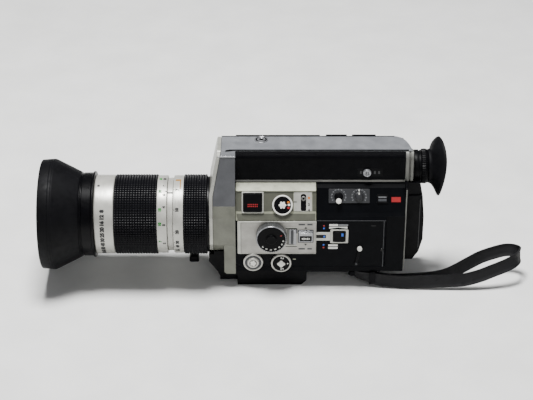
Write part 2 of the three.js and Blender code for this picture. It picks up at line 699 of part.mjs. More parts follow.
for (const [name, span] of Object.entries(ZOOM_BUTTONS)) {
  const cap = box(span, [25.6, 28.2], [-0.7, 0.3]);
  add(name, "black", on("top", join(cap, zoomStem(span, 0, 0))));
}

// ---------------------------------------------------------------- film door
const DOOR_SIDE = -12; // left face of the door's rear box
const REAR_BOX = { foot: 22, top: 92.5, back: 187.5 };
const rearBox = (inset) => [
  [REAR_X + GAP - inset, REAR_BOX.foot + inset], [178 - inset / 2, REAR_BOX.foot + inset],
  [184 - inset, 31 + inset / 2], [REAR_BOX.back - inset, 45], [REAR_BOX.back - inset, 70],
  [185.5 - inset, REAR_BOX.top - inset], [REAR_X + GAP - inset, REAR_BOX.top - inset],
];

function filmDoor() {
  const panel = join(
    box(DOOR.x, [RIGHT - SKIN, RIGHT], DOOR.z),
    box([REAR_X - 1, REAR_X + 4], [RIGHT - SKIN, RIGHT], [DOOR.z[0], 92]),
  );
  const outer = alongY(rearBox(0), DOOR_SIDE, RIGHT);
  const inner = alongY(rearBox(SKIN), DOOR_SIDE + SKIN, RIGHT - SKIN);
  const knuckle = rod(KNUCKLE, ...DOOR.hingeZ, 16).translate(DOOR_PIN.x, DOOR_PIN.y, 0);
  const web = box([DOOR_PIN.x, DOOR.x[0] + 3], [RIGHT, DOOR_PIN.y], DOOR.hingeZ);
  return cut(join(cut(join(outer, panel), inner), knuckle, web), hingeBore());
}

add("film_door", "black", filmDoor());
const hingePin = rod(DOOR_PIN.r, DOOR.hingeZ[0] - LUG, DOOR.hingeZ[1] + LUG, 12);
add("door_hinge_pin", "steel", hingePin.translate(DOOR_PIN.x, DOOR_PIN.y, 0));
add("door_latch", "chrome", join(
  box([148, 158], [RIGHT + GAP, RIGHT + 1.8], [56, 72]),
  box([151, 155], [RIGHT + 1, RIGHT + 3], [61, 67]),
));

// ---------------------------------------------------------------- grip, drawn folded under the body
const GRIP_Z = [PIVOT.z - GRIP.thick, PIVOT.z + GRIP.thick];
const TRIGGER = { x: [48, 62], half: 4 };
const BAY_START = 51; // near end of the battery bay
const CELL_R = 7.1; // a penlight cell

function gripBody() {
  const outline = [
    ...arc([PIVOT.x, PIVOT.z], GRIP.thick, 90, 270, 10),
    [GRIP.end - 3, GRIP_Z[0]], [GRIP.end, GRIP_Z[0] + 3],
    [GRIP.end, GRIP_Z[1] - 2], [GRIP.end - 2, GRIP_Z[1]],
  ];
  const shell = alongY(outline, -GRIP.half, GRIP.half);
  const bay = box(
    [BAY_START, GRIP.end + 1],
    [-GRIP.half + 1.5, GRIP.half - 1.5],
    [GRIP_Z[0] + 5.5, GRIP_Z[1] - 3],
  );
  const triggerPocket = box(
    [TRIGGER.x[0] - GAP, TRIGGER.x[1] + GAP],
    [-TRIGGER.half - GAP, TRIGGER.half + GAP],
    [GRIP_Z[0] - 1, GRIP_Z[0] + 4],
  );
  const root = -GRIP.half + 1;
  const strapEye = alongZ(
    [[116, root], [116, -22], [118, -24], [126, -24], [128, -22], [128, root]],
    GRIP_Z[0],
    15,
  );
  const eyeHole = box([118.5, 125.5], [-21.5, -18.5], [0, 20]);
  const bore = aboutY(rod(PIVOT.r + GAP, -40, 40, 16), PIVOT.x, PIVOT.z);
  return cut(join(shell, strapEye), bay, triggerPocket, eyeHole, bore);
}

// Two rows of two cells between two end plates.
function batteryHolder() {
  const [start, end] = [BAY_START + 1, GRIP.end - 1];
  const mid = GRIP_Z[0] + 13.25;
  const half = 2 * CELL_R + 0.2;
  const plate = 1.5;
  const rows = [-7.3, 7.3].map((y) => aboutX(rod(CELL_R, start, end, 20), y, mid));
  const ends = [start, end - plate].map((x) =>
    box([x, x + plate], [-half, half], [mid - CELL_R, mid + CELL_R]),
  );
  return join(...rows, ...ends);
}

add("grip_body", "black", gripBody());
add("grip_pivot_pin", "steel", aboutY(rod(PIVOT.r, -23, 23, 16), PIVOT.x, PIVOT.z));
add("battery_holder", "grey", batteryHolder());
add("battery_cover", "black", alongY(
  [
    [GRIP.end + GAP, 12], [GRIP.end + 3, 13], [GRIP.end + 4, 18],
    [GRIP.end + 4, 30], [GRIP.end + GAP, 33],
  ],
  -GRIP.half + 0.5,
  GRIP.half - 0.5,
));
add("trigger", "black", alongY(
  [
    [TRIGGER.x[0], 11], [TRIGGER.x[1], 11], [TRIGGER.x[1], 6], [57, 4.5], [52, 5.5],
    [TRIGGER.x[0], 3.5],
  ],
  -TRIGGER.half,
  TRIGGER.half,
));

// Wrist strap: a flat band standing on its edge, out from the grip's eye to a raised loop and back.
const STRAP = { half: 5, halfThick: 1.1 };
const STRAP_PATH = [
  [122, -26, 10.6], [127, -27.2, 10.2], [142, -28.6, 7], [160, -30, 5.6], [205, -31, 7.6],
  [236, -30.6, 12], [262, -26.5, 20.5], [280, -16, 24.6], [281, -4, 24.8], [268, 2, 23.2],
  [244, -0.6, 18.6], [220, -10.5, 11.6], [200, -19, 7], [172, -24.6, 5.6], [144, -25.4, 5.4],
];

function wristStrap() {
  const path = new THREE.CatmullRomCurve3(STRAP_PATH.map((p) => new THREE.Vector3(...p)));
  const { half, halfThick } = STRAP;
  const band = new THREE.Shape([
    new THREE.Vector2(-half, -halfThick),
    new THREE.Vector2(half, -halfThick),
    new THREE.Vector2(half, halfThick),
    new THREE.Vector2(-half, halfThick),
  ]);
  return new THREE.ExtrudeGeometry(band, { steps: 44, bevelEnabled: false, extrudePath: path });
}
add("wrist_strap", "cloth", wristStrap());

// ---------------------------------------------------------------- film, drive and electrics
const CARTRIDGE = { x: [88, 163], y: [-6, 18], z: [38.5, 109] };
const SPOOL = { x: 122, z: 74 };
const SHUTTER = { y: 0, z: 79, r: 18, gear: 15.5 };
const PINION = { y: 14.2, z: 93.2, r: 4 };
const GATE_X = 84;
const FRAME_HALF = [2.9, 2.1]; // half size of the picture window

function filmCartridge() {
  const body = box(CARTRIDGE.x, CARTRIDGE.y, CARTRIDGE.z);
  const hub = aboutY(rod(5, -7, 2, 16), SPOOL.x, SPOOL.z);
  const notch = box([CARTRIDGE.x[0] - 1, CARTRIDGE.x[0] + 1.5], [-4, 4], [LENS_Z - 9, LENS_Z + 9]);
  return cut(body, hub, notch);
}

function filmGate() {
  const plate = box([GATE_X, GATE_X + 1.5], [-12, 12], [LENS_Z - 15, LENS_Z + 15]);
  const [y, z] = FRAME_HALF;
  return cut(plate, box([GATE_X - 4, GATE_X + 6], [-y, y], [LENS_Z - z, LENS_Z + z]));
}

// Shutter: a disc with one open sector, on a shaft with its gear.
function shutterDisc() {
  const sector = [[0, 0], ...arc([0, 0], SHUTTER.r, -75, 75, 8)];
  const disc = cut(rod(SHUTTER.r, 80, 81, 32), alongZ(sector, 79, 82).translate(4, 0, 0));
  const gear = rod(SHUTTER.gear, 73, 76, 32);
  return aboutX(join(disc, gear, rod(2, 70, 82.5, 16)), SHUTTER.y, SHUTTER.z);
}

add("film_cartridge", "black", filmCartridge());
add("film_gate", "steel", filmGate());
add("shutter_disc", "steel", shutterDisc());
const motorTurned = (...rods) => aboutX(join(...rods), PINION.y, PINION.z);
add("motor", "steel", motorTurned(rod(12, 36, 68, 28), rod(4, 67, 70, 16)));
add("motor_pinion", "steel", motorTurned(rod(PINION.r, 72, 77, 16), rod(1, 70.3, 73, 12)));
const spindle = join(rod(3.5, -10, 1, 12), rod(7, -10, -6.5, 20));
add("take_up_spindle", "white", aboutY(spindle, SPOOL.x, SPOOL.z));
add("circuit_board", "board", box([14, 76], [-20, -18.4], [42, 74]));

export default camera;
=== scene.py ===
"""The look of the cine camera, built round its CAD frame. Lengths in this file are millimetres unless a name ends in _m."""

import json
import math

import bmesh
import bpy
from mathutils import Matrix, Vector

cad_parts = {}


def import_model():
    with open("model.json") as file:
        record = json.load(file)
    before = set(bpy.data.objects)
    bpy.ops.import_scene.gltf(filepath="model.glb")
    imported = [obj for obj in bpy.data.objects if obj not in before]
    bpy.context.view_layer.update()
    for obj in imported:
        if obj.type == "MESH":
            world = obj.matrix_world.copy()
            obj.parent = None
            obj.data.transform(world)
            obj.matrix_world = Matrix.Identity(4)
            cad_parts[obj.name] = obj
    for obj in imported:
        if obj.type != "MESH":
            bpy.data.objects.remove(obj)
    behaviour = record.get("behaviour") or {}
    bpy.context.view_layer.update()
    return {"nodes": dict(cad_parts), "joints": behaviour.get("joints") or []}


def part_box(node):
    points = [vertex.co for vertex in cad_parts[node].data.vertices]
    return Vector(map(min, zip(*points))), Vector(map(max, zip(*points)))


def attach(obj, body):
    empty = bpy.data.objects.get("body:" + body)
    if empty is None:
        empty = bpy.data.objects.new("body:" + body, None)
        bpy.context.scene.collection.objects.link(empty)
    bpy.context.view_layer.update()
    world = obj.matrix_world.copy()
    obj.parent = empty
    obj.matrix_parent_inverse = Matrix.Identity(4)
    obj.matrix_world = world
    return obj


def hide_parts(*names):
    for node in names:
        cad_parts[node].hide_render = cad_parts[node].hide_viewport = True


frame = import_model()
JOINTS = {joint["name"]: joint for joint in frame["joints"]}
MM = 0.001


# ---------------------------------------------------------------- places
def axes(origin, x, y):
    """A frame in millimetres: its x and y axes as given, z out of the surface."""
    x, y = Vector(x).normalized(), Vector(y).normalized()
    z = x.cross(y)
    matrix = Matrix((x, y, z)).transposed().to_4x4()
    matrix.translation = Vector(origin)
    return matrix


def facing(origin, outward):
    """A frame on a face of the body: x rearwards, z outward."""
    z = Vector(outward).normalized()
    return axes(origin, (1, 0, 0), z.cross(Vector((1, 0, 0))))


def pivot(joint):
    """The frame of a hinge on the control side."""
    row = JOINTS[joint]
    return facing(Vector(row["pos_m"]) / MM, row["axis"])


def low(node):
    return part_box(node)[0] / MM


def high(node):
    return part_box(node)[1] / MM


CONSOLE_OUT = Vector(JOINTS["mode_turn"]["axis"])
CONSOLE = facing((0, -23.8, 81.1), CONSOLE_OUT)
PANEL = facing((0, low("side_panel").y, 0), (0, -1, 0))
PLATEAU = facing(Vector((0, JOINTS["cell_cap_turn"]["pos_m"][1] / MM, 0)), (0, -1, 0))
UPPER = facing((0, -8, 0), (0, -1, 0))
TOP = facing((0, 0, high("top_cover").z), (0, 0, 1))
RIGHT = axes((0, high("right_housing").y - 5, 0), (-1, 0, 0), (0, 0, 1))
LENS_Z = JOINTS["focus_turn"]["pos_m"][2] / MM
# x up, y towards the control side, z rearwards: angles run from the top towards the control side
LENS = axes((0, 0, LENS_Z), (0, 0, 1), (0, -1, 0))
EYE_Y, EYE_Z = [v / MM for v in JOINTS["diopter_turn"]["pos_m"][1:]]
EYE = axes((0, EYE_Y, EYE_Z), (0, 0, 1), (0, -1, 0))


def shifted(base, x, y, z=0.0, turn_deg=0.0):
    return base @ Matrix.Translation((x, y, z)) @ Matrix.Rotation(math.radians(turn_deg), 4, "Z")


# ---------------------------------------------------------------- materials
def linear(red, green, blue):
    """A colour given as 0 to 255 in sRGB, for a shader."""
    shares = [v / 255 for v in (red, green, blue)]
    return [v / 12.92 if v <= 0.04045 else ((v + 0.055) / 1.055) ** 2.4 for v in shares] + [1.0]


class Shader:
    """A material under construction: short names for the nodes used below."""

    def __init__(self, name):
        self.material = bpy.data.materials.new(name)
        self.material.use_nodes = True
        self.tree = self.material.node_tree
        self.bsdf = self.tree.nodes["Principled BSDF"]

    def node(self, kind, **settings):
        made = self.tree.nodes.new("ShaderNode" + kind)
        for key, value in settings.items():
            setattr(made, key, value)
        return made

    def link(self, source, target):
        self.tree.links.new(source, target)

    def coordinates(self, source="Object", scale=(1, 1, 1)):
        mapping = self.node("Mapping")
        mapping.inputs["Scale"].default_value = scale
        self.link(self.node("TexCoord").outputs[source], mapping.inputs["Vector"])
        return mapping.outputs["Vector"]

    def noise(self, vector, size, detail=3.0, rough=0.55):
        """Noise with features of about the given size in millimetres."""
        made = self.node("TexNoise")
        made.inputs["Scale"].default_value = 1 / (size * MM)
        made.inputs["Detail"].default_value = detail
        made.inputs["Roughness"].default_value = rough
        self.link(vector, made.inputs["Vector"])
        return made.outputs["Fac"]

    def cells(self, vector, size):
        made = self.node("TexVoronoi", feature="SMOOTH_F1")
        made.inputs["Scale"].default_value = 1 / (size * MM)
        made.inputs["Smoothness"].default_value = 0.35
        self.link(vector, made.inputs["Vector"])
        return made.outputs["Distance"]

    def waves(self, vector, size, direction):
        made = self.node("TexWave", bands_direction=direction)
        made.inputs["Scale"].default_value = 1 / (size * MM * 3.18)
        made.inputs["Distortion"].default_value = 0.6
        made.inputs["Detail"].default_value = 1.0
        self.link(vector, made.inputs["Vector"])
        return made.outputs["Fac"]

    def math(self, operation, a, b):
        made = self.node("Math", operation=operation)
        for socket, value in zip(made.inputs, (a, b)):
            if isinstance(value, (int, float)):
                socket.default_value = value
            else:
                self.link(value, socket)
        return made.outputs["Value"]

    def spread(self, value, low_out, high_out, low_in=0.3, high_in=0.7):
        made = self.node("MapRange")
        self.link(value, made.inputs["Value"])
        for key, number in zip(("From Min", "From Max", "To Min", "To Max"), (low_in, high_in, low_out, high_out)):
            made.inputs[key].default_value = number
        return made.outputs["Result"]

    def mix(self, share, first, second):
        made = self.node("Mix", data_type="RGBA")
        self.link(share, made.inputs["Factor"])
        for socket, value in zip((made.inputs[6], made.inputs[7]), (first, second)):
            if isinstance(value, list):
                socket.default_value = value
            else:
                self.link(value, socket)
        return made.outputs[2]

    def worn_edges(self, vector, reach):
        """Near 1 along edges and corners, broken up by noise: it marks rubbed wear and painted edge highlights alike.
        """
        bevel = self.node("Bevel", samples=4)
        bevel.inputs["Radius"].default_value = reach * MM
        dot = self.node("VectorMath", operation="DOT_PRODUCT")
        self.link(bevel.outputs["Normal"], dot.inputs[0])
        self.link(self.node("NewGeometry").outputs["Normal"], dot.inputs[1])
        turned = self.spread(dot.outputs["Value"], 1.0, 0.0, 0.86, 0.99)
        patches = self.spread(self.noise(vector, 3.0), 0.0, 1.0, 0.40, 0.66)
        return self.math("MULTIPLY", turned, patches)

    def bump(self, height, depth):
        made = self.node("Bump")
        made.inputs["Distance"].default_value = depth * MM
        made.inputs["Strength"].default_value = 1.0
        self.link(height, made.inputs["Height"])
        self.link(made.outputs["Normal"], self.bsdf.inputs["Normal"])


def surface(name, color, rough, metal=0.0, relief="grain", size=0.5, depth=0.02, mottle=0.12, wear_and_highlight_amount=0.35,
            wear_and_highlight_color=None, stretch=(1, 1, 1), coat=0.0, shine=0.5):
    """A finish with uneven colour and gloss, a fine relief, and lighter edges that are partly rubbed wear and partly
    painted highlights.
    """
    shader = Shader(name)
    base = linear(*color)
    plain = shader.coordinates()
    fine = shader.coordinates("UV" if relief == "weave" else "Object", stretch)
    if relief == "leather":
        height = shader.math("ADD", shader.cells(fine, size), shader.math("MULTIPLY", shader.noise(fine, size * 3), 0.5))
    elif relief == "weave":
        height = shader.math("ADD", shader.waves(fine, size, "X"), shader.waves(fine, size, "Y"))
    else:
        height = shader.noise(fine, size)
    shader.bump(height, depth)

    dark = [v * (1 - 2.2 * mottle) for v in base[:3]] + [1.0]
    light = [min(1.0, v * (1 + mottle) + 0.0006) for v in base[:3]] + [1.0]
    broad = shader.noise(plain, 14.0)
    tone = shader.mix(shader.spread(broad, 0.0, 1.0), dark, light)
    speckled = shader.mix(shader.spread(height, 0.0, 0.35, 0.2, 0.9), dark, tone)
    grained = shader.mix(shader.spread(shader.noise(plain, 0.8), 0.5, 1.0), speckled, tone)
    # Edge colour: lighter along edges, partly real rubbed wear and partly a painted highlight where edges catch the
    # light.
    bright = linear(*wear_and_highlight_color) if wear_and_highlight_color else [min(1.0, v * 1.9 + 0.02) for v in base[:3]] + [1.0]
    edge = shader.math("MULTIPLY", shader.worn_edges(plain, 0.35), wear_and_highlight_amount)
    shader.link(shader.mix(edge, grained, bright), shader.bsdf.inputs["Base Color"])

    gloss = shader.spread(shader.noise(fine, size * 6), rough * 0.85, min(1.0, rough * 1.15))
    smudges = shader.spread(shader.noise(plain, 9.0, 5.0), -0.05, 0.07)
    shader.link(shader.math("ADD", gloss, smudges), shader.bsdf.inputs["Roughness"])
    shader.bsdf.inputs["Metallic"].default_value = metal
    shader.bsdf.inputs["Specular IOR Level"].default_value = shine
    shader.bsdf.inputs["Coat Weight"].default_value = coat
    shader.bsdf.inputs["Coat Roughness"].default_value = 0.2
    return shader.material


def coated_glass(name, tint, centre):
    """Dark glass with the coating's coloured reflection painted into its colour, shifting towards the tint where the
    surface turns from view, with faint smudges.
    """
    shader = Shader(name)
    plain = shader.coordinates()
    facing_share = shader.node("LayerWeight")
    facing_share.inputs["Blend"].default_value = 0.35
    # Painted reflection: the glass's own colour turns from the centre colour to the coating tint where the surface
    # turns away from view.
    painted_coating_sheen = shader.mix(facing_share.outputs["Facing"], linear(*centre), linear(*tint))
    spots = shader.spread(shader.noise(plain, 5.0, 6.0), 0.0, 0.25, 0.45, 0.8)
    shader.link(shader.mix(spots, painted_coating_sheen, linear(70, 76, 96)), shader.bsdf.inputs["Base Color"])
    shader.link(shader.spread(shader.noise(plain, 7.0, 5.0), 0.03, 0.12), shader.bsdf.inputs["Roughness"])
    shader.bump(shader.noise(plain, 20.0), 0.01)
    shader.bsdf.inputs["Coat Weight"].default_value = 1.0
    shader.bsdf.inputs["Coat Tint"].default_value = linear(*tint)
    return shader.material


ALONG_X = (0.03, 1, 1)
FINISH = {
    "silver_cover": surface("satin_silver_paint", (124, 126, 130), 0.42, 0.35, size=0.35, depth=0.012, wear_and_highlight_color=(205, 206, 208)),
    "olive_panel": surface("champagne_paint", (147, 149, 130), 0.45, 0.2, size=0.35, depth=0.012, wear_and_highlight_color=(214, 214, 204)),
    # Painted shade: the top cover's grey paint made darker for the front upper casting, a vertical face that lies in
    # shade.
    "dark_grey_casting": surface("grey_paint_painted_shade", (76, 77, 80), 0.5, 0.15, size=0.5, depth=0.02, wear_and_highlight_color=(140, 142, 146)),
    "front_plate": surface("pale_satin_metal", (178, 178, 170), 0.38, 0.5, size=0.3, depth=0.01),
    "brushed_panel": surface("brushed_aluminium", (160, 158, 152), 0.38, 0.4, size=0.25, depth=0.012, stretch=ALONG_X),
    "black_shell": surface("black_stipple_plastic", (4, 5, 8), 0.46, size=0.45, depth=0.03, wear_and_highlight_amount=0.5, wear_and_highlight_color=(52, 54, 58), shine=0.05),
    "black_part": surface("black_satin_plastic", (4, 4, 6), 0.4, size=0.3, depth=0.015, wear_and_highlight_amount=0.5, wear_and_highlight_color=(48, 49, 52), shine=0.07),
    "gloss_black": surface("black_gloss_enamel", (2, 2, 3), 0.2, size=1.2, depth=0.008, coat=0.04, wear_and_highlight_color=(60, 60, 62), shine=0.15),
    "chrome_trim": surface("bright_trim", (168, 169, 172), 0.16, 1.0, size=0.4, depth=0.006, mottle=0.06),
    "lens_silver": surface("anodised_barrel", (186, 185, 178), 0.36, 0.4, size=0.3, depth=0.008, mottle=0.07, stretch=(1, 0.1, 0.1)),
    "lens_black": surface("black_anodised", (4, 4, 6), 0.34, size=0.3, depth=0.01, wear_and_highlight_color=(60, 60, 62), shine=0.1),
    "lens_rubber": surface("knurled_grip_rubber", (5, 5, 9), 0.42, size=0.4, depth=0.02, wear_and_highlight_amount=0.15, wear_and_highlight_color=(60, 61, 66), shine=0.12),
    "soft_rubber": surface("soft_rubber", (7, 7, 10), 0.55, size=0.7, depth=0.03, mottle=0.18, wear_and_highlight_color=(36, 37, 41), shine=0.10),
    "optical_glass": coated_glass("coated_optics", (58, 46, 104), (12, 16, 30)),
    "steel_part": surface("machined_steel", (150, 152, 156), 0.3, 0.9, size=0.3, depth=0.01, stretch=(0.1, 1, 1)),
    "white_plastic": surface("ivory_plastic", (226, 225, 217), 0.4, size=0.5, depth=0.012, mottle=0.05, wear_and_highlight_color=(240, 240, 236)),
    "instrument_grey": surface("instrument_plate", (34, 35, 38), 0.4, 0.2, size=0.3, depth=0.015, stretch=ALONG_X),
    "strap_cloth": surface("woven_strap", (10, 10, 13), 0.55, relief="weave", size=0.9, depth=0.10, mottle=0.2, wear_and_highlight_color=(60, 62, 66), shine=0.25),
    "battery_jacket": surface("cell_jacket", (70, 82, 104), 0.35, 0.3, size=0.4, depth=0.01, stretch=ALONG_X),
    "cartridge_plastic": surface("cartridge_plastic", (16, 16, 18), 0.5, size=0.5, depth=0.03, wear_and_highlight_color=(60, 60, 62), shine=0.3),
    "board_green": surface("circuit_board", (44, 92, 58), 0.45, size=0.6, depth=0.03),
}
LEATHER = surface("grained_leatherette", (3, 3, 6), 0.46, relief="leather", size=0.75, depth=0.16, mottle=0.2,
                  wear_and_highlight_amount=0.5, wear_and_highlight_color=(44, 45, 50), shine=0.055)
DOOR_COVER = surface("grained_door_cover", (7, 7, 9), 0.5, relief="leather", size=0.55, depth=0.10, mottle=0.2,
                     wear_and_highlight_color=(58, 58, 60), shine=0.08)
# Painted shade: a darker copy of the olive paint for the sloped console's fields and the ledge below them, which lie in
# shade.
OLIVE_PAINTED_SHADE = surface("olive_painted_shade", (78, 79, 68), 0.5, 0.2, size=0.35, depth=0.015)
SHADE = surface("shaded_metal", (104, 104, 100), 0.45, 0.4, size=0.3, depth=0.01, stretch=ALONG_X)
DIAL_SKIRT = surface("dial_knurl", (92, 93, 93), 0.34, 0.6, size=0.3, depth=0.01, wear_and_highlight_color=(190, 190, 188))
# Painted shade: the console's olive paint made darker for the front casting, whose rounded lens shroud lies in shade.
SHROUD_PAINTED_SHADE = surface("champagne_casting_painted_shade", (108, 109, 99), 0.42, 0.3, size=0.35, depth=0.015, wear_and_highlight_color=(196, 196, 186))
TRIM = surface("dull_trim", (146, 147, 150), 0.3, 0.7, size=0.4, depth=0.006, mottle=0.1)
PRINT = {
    name: surface(name + "_paint", color, 0.5, size=0.2, depth=0.006, mottle=0.08, wear_and_highlight_amount=0.2)
    for name, color in {
        "white_mark": (236, 236, 230),
        "black_mark": (18, 18, 20),
        "red_mark": (150, 8, 14),
        "orange_mark": (196, 104, 0),
        "green_mark": (16, 118, 30),
        "blue_mark": (16, 96, 206),
        "tan_mark": (150, 108, 44),
        "grey_mark": (128, 130, 133),
        "dim_mark": (52, 54, 58),
    }.items()
}


# ---------------------------------------------------------------- shapes: each is (points, faces) in millimetres
def join(*shapes):
    points, faces = [], []
    for more_points, more_faces in shapes:
        start = len(points)
        points += more_points
        faces += [tuple(start + i for i in face) for face in more_faces]
    return points, faces


def rounded(outline, radius, steps=3, closed=True):
    """The outline with its corners rounded."""
    made = []
    count = len(outline)
    for i, corner in enumerate(outline):
        here = Vector(corner)
        if not closed and i in (0, count - 1):
            made.append(tuple(here))
            continue
        before, after = Vector(outline[i - 1]) - here, Vector(outline[(i + 1) % count]) - here
        reach = min(radius, 0.45 * before.length, 0.45 * after.length)
        start, end = here + before.normalized() * reach, here + after.normalized() * reach
        for k in range(steps + 1):
            t = k / steps
            made.append(tuple(start * (1 - t) ** 2 + here * 2 * t * (1 - t) + end * t * t))
    return made


def turned(profile, base, sides=64, shape=None):
    """A closed profile of (along, radius) turned about the base's z axis. The shape may change the radius at an angle."""
    points, faces = [], []
    count = len(profile)
    for i in range(sides):
        angle = 2 * math.pi * i / sides
        for along, radius in profile:
            r = shape(i, along, radius) if shape else radius
            points.append(base @ Vector((r * math.cos(angle), r * math.sin(angle), along)))
    for i in range(sides):
        following = (i + 1) % sides
        for j in range(count):
            k = (j + 1) % count
            faces.append((i * count + j, following * count + j, following * count + k, i * count + k))
    return points, faces


def ribs(depth, over, every=2):
    """A shape for turned(): grooves along the axis in everything outside a radius."""
    return lambda i, along, radius: radius - depth if i % every == 0 and radius > over else radius


def plate(outline, z0, z1, base):
    count = len(outline)
    points = [base @ Vector((x, y, z)) for z in (z0, z1) for x, y in outline]
    faces = [tuple(range(count)), tuple(range(count, 2 * count))]
    for i in range(count):
        k = (i + 1) % count
        faces.append((i, k, count + k, count + i))
    return points, faces


def rectangle(x, y, width, height, corner=0.6, steps=3):
    sides = [(x - width / 2, y - height / 2), (x + width / 2, y - height / 2),
             (x + width / 2, y + height / 2), (x - width / 2, y + height / 2)]
    return rounded(sides, corner, steps)


def circle(x, y, radius, steps=32):
    turns = [2 * math.pi * i / steps for i in range(steps)]
    return [(x + radius * math.cos(a), y + radius * math.sin(a)) for a in turns]


def lobed(radius, lobes, depth, steps=72):
    """A hub's outline with rounded lobes."""
    made = []
    for i in range(steps):
        angle = 2 * math.pi * i / steps
        r = radius - depth * (0.5 - 0.5 * math.cos(lobes * angle))
        made.append((r * math.cos(angle), r * math.sin(angle)))
    return made


def window(outer, inner, z0, z1, base):
    """A plate with an opening. Both outlines have the same number of points."""
    count = len(outer)
    rings = [(outer, z0), (outer, z1), (inner, z1), (inner, z0)]
    points = [base @ Vector((x, y, z)) for outline, z in rings for x, y in outline]
    faces = []
    for ring in range(4):
        a, b = ring * count, (ring + 1) % 4 * count
        for i in range(count):
            k = (i + 1) % count
            faces.append((a + i, a + k, b + k, b + i))
    return points, faces


def swept(outlines):
    """A skin through a run of outlines with the same number of points, closed at both ends."""
    count = len(outlines[0])
    points = [p for outline in outlines for p in outline]
    faces = [tuple(range(count)), tuple(range(len(points) - count, len(points)))]
    for ring in range(len(outlines) - 1):
        for i in range(count):
            k = (i + 1) % count
            faces.append((ring * count + i, ring * count + k, (ring + 1) * count + k, (ring + 1) * count + i))
    return points, faces


def glyphs(text, size, place, thick=0.08, weight=0.03):
    """Digits laid out by place(u, v, lift)."""
    curve = bpy.data.curves.new("digits", "FONT")
    curve.body = text
    curve.size = size
    curve.align_x = "CENTER"
    curve.align_y = "CENTER"
    curve.resolution_u = 4
    curve.offset = weight * size
    curve.extrude = thick / 2
    holder = bpy.data.objects.new("digits", curve)
    mesh = bpy.data.meshes.new_from_object(holder)
    points = [place(v.co.x, v.co.y, v.co.z + thick / 2) for v in mesh.vertices]
    faces = [tuple(polygon.vertices) for polygon in mesh.polygons]
    bpy.data.objects.remove(holder)
    bpy.data.meshes.remove(mesh)
    bpy.data.curves.remove(curve)
    return points, faces


def flat(base, x, y, lift=0.0, turn_deg=0.0):
    spot = shifted(base, x, y, lift, turn_deg)
    return lambda u, v, w: spot @ Vector((u, v, w))


def wrapped(base, along, angle_deg, radius):
    """Reads round a ring, the top of each digit towards the front."""

    def place(u, v, w):
        angle = math.radians(angle_deg) - u / radius
        return base @ Vector(((radius + w) * math.cos(angle), (radius + w) * math.sin(angle), along - v))

    return place


def ring_bar(base, along, angle_deg, radius, length, width, thick=0.06):
    """A bar on a ring, long in the axis direction."""
    place = wrapped(base, along, angle_deg, radius)
    steps = max(1, int(width / 1.5))
    outlines = []
    for i in range(steps + 1):
        u = -width / 2 + width * i / steps
        outlines.append([place(u, v, w) for v, w in
                         ((-length / 2, -0.1), (length / 2, -0.1), (length / 2, thick), (-length / 2, thick))])
    return swept(outlines)


# ---------------------------------------------------------------- pieces
def piece(name, shape, body, slot, stands_for=(), finish=None, crease_deg=32, soft=0.0):
    """A shape as an object that rides on a body."""
    points, faces = shape
    mesh = bpy.data.meshes.new(name)
    mesh.from_pydata([Vector(p) * MM for p in points], [], faces)
    work = bmesh.new()
    work.from_mesh(mesh)
    bmesh.ops.remove_doubles(work, verts=work.verts, dist=1e-7)
    bmesh.ops.dissolve_degenerate(work, edges=work.edges, dist=1e-8)
    bmesh.ops.recalc_face_normals(work, faces=work.faces)
    work.to_mesh(mesh)
    work.free()
    mesh.shade_smooth()
    mesh.set_sharp_from_angle(angle=math.radians(crease_deg))
    mesh.materials.append(finish or FINISH[slot])
    made = bpy.data.objects.new(name, mesh)
    bpy.context.scene.collection.objects.link(made)
    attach(made, body)
    if stands_for:
        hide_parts(*stands_for)
    if soft:
        bevel = made.modifiers.new("soft_edges", "BEVEL")
        bevel.width = soft * MM
        bevel.segments = 2
        bevel.limit_method = "ANGLE"
        bevel.angle_limit = math.radians(40)
    return made


def finish_cad(slot, *nodes, soft=0.35, finish=None):
    """CAD nodes that stay in view: their own material, corners merged and edges eased."""
    for name in nodes:
        node = frame["nodes"][name]
        node.data.materials.clear()
        node.data.materials.append(finish or FINISH[slot])
        weld = node.modifiers.new("weld", "WELD")
        weld.merge_threshold = 2e-6
        bevel = node.modifiers.new("soft_edges", "BEVEL")
        bevel.width = soft * MM
        bevel.segments = 2
        bevel.limit_method = "ANGLE"
        bevel.angle_limit = math.radians(25)
        bevel.harden_normals = True


finish_cad("black_shell", "left_housing", "right_housing", "grip_body", "battery_cover")
finish_cad("silver_cover", "top_cover", soft=0.6)
finish_cad("dark_grey_casting", "front_upper_casting", soft=0.5)
finish_cad("olive_panel", "console_panel", soft=0.5)
finish_cad("olive_panel", "front_casting", soft=0.5, finish=SHROUD_PAINTED_SHADE)
finish_cad("front_plate", "front_plate", soft=0.5)
finish_cad("brushed_panel", "side_panel")
finish_cad("black_part", "base_frame", "eyepiece_mount", "trigger", soft=0.5)
finish_cad("chrome_trim", "side_trim", soft=0.2, finish=SHADE)
finish_cad("steel_part", "grip_pivot_pin", "door_hinge_pin", "film_gate", soft=0.1)
finish_cad("steel_part", "shutter_disc", "motor", "motor_pinion", soft=0.15)
finish_cad("white_plastic", "take_up_spindle", soft=0.2)
finish_cad("battery_jacket", "battery_holder", soft=0.2)
finish_cad("cartridge_plastic", "film_cartridge", soft=0.8)
finish_cad("board_green", "circuit_board", soft=0.1)
finish_cad("black_shell", "film_door", soft=0.8, finish=DOOR_COVER)


# ---------------------------------------------------------------- lens
def knurled(x0, x1, radius, bore, rows, columns, depth, frame_of_ring):
    """A ring covered in small square pads, rows round it and columns along it."""
    pitch = (x1 - x0) / columns
    profile = [(x0, bore), (x0, radius - depth - 0.3)]
    for column in range(columns):
        start = x0 + pitch * column
        profile += [(start + 0.02, radius - depth), (start + 0.28 * pitch, radius), (start + 0.78 * pitch, radius)]
    profile += [(x1 - 0.02, radius - depth), (x1, radius - depth - 0.3), (x1, bore)]
    pads = lambda i, along, r: min(r, radius - depth) if i % 3 == 0 else r
    return turned(profile, frame_of_ring, rows * 3, pads)


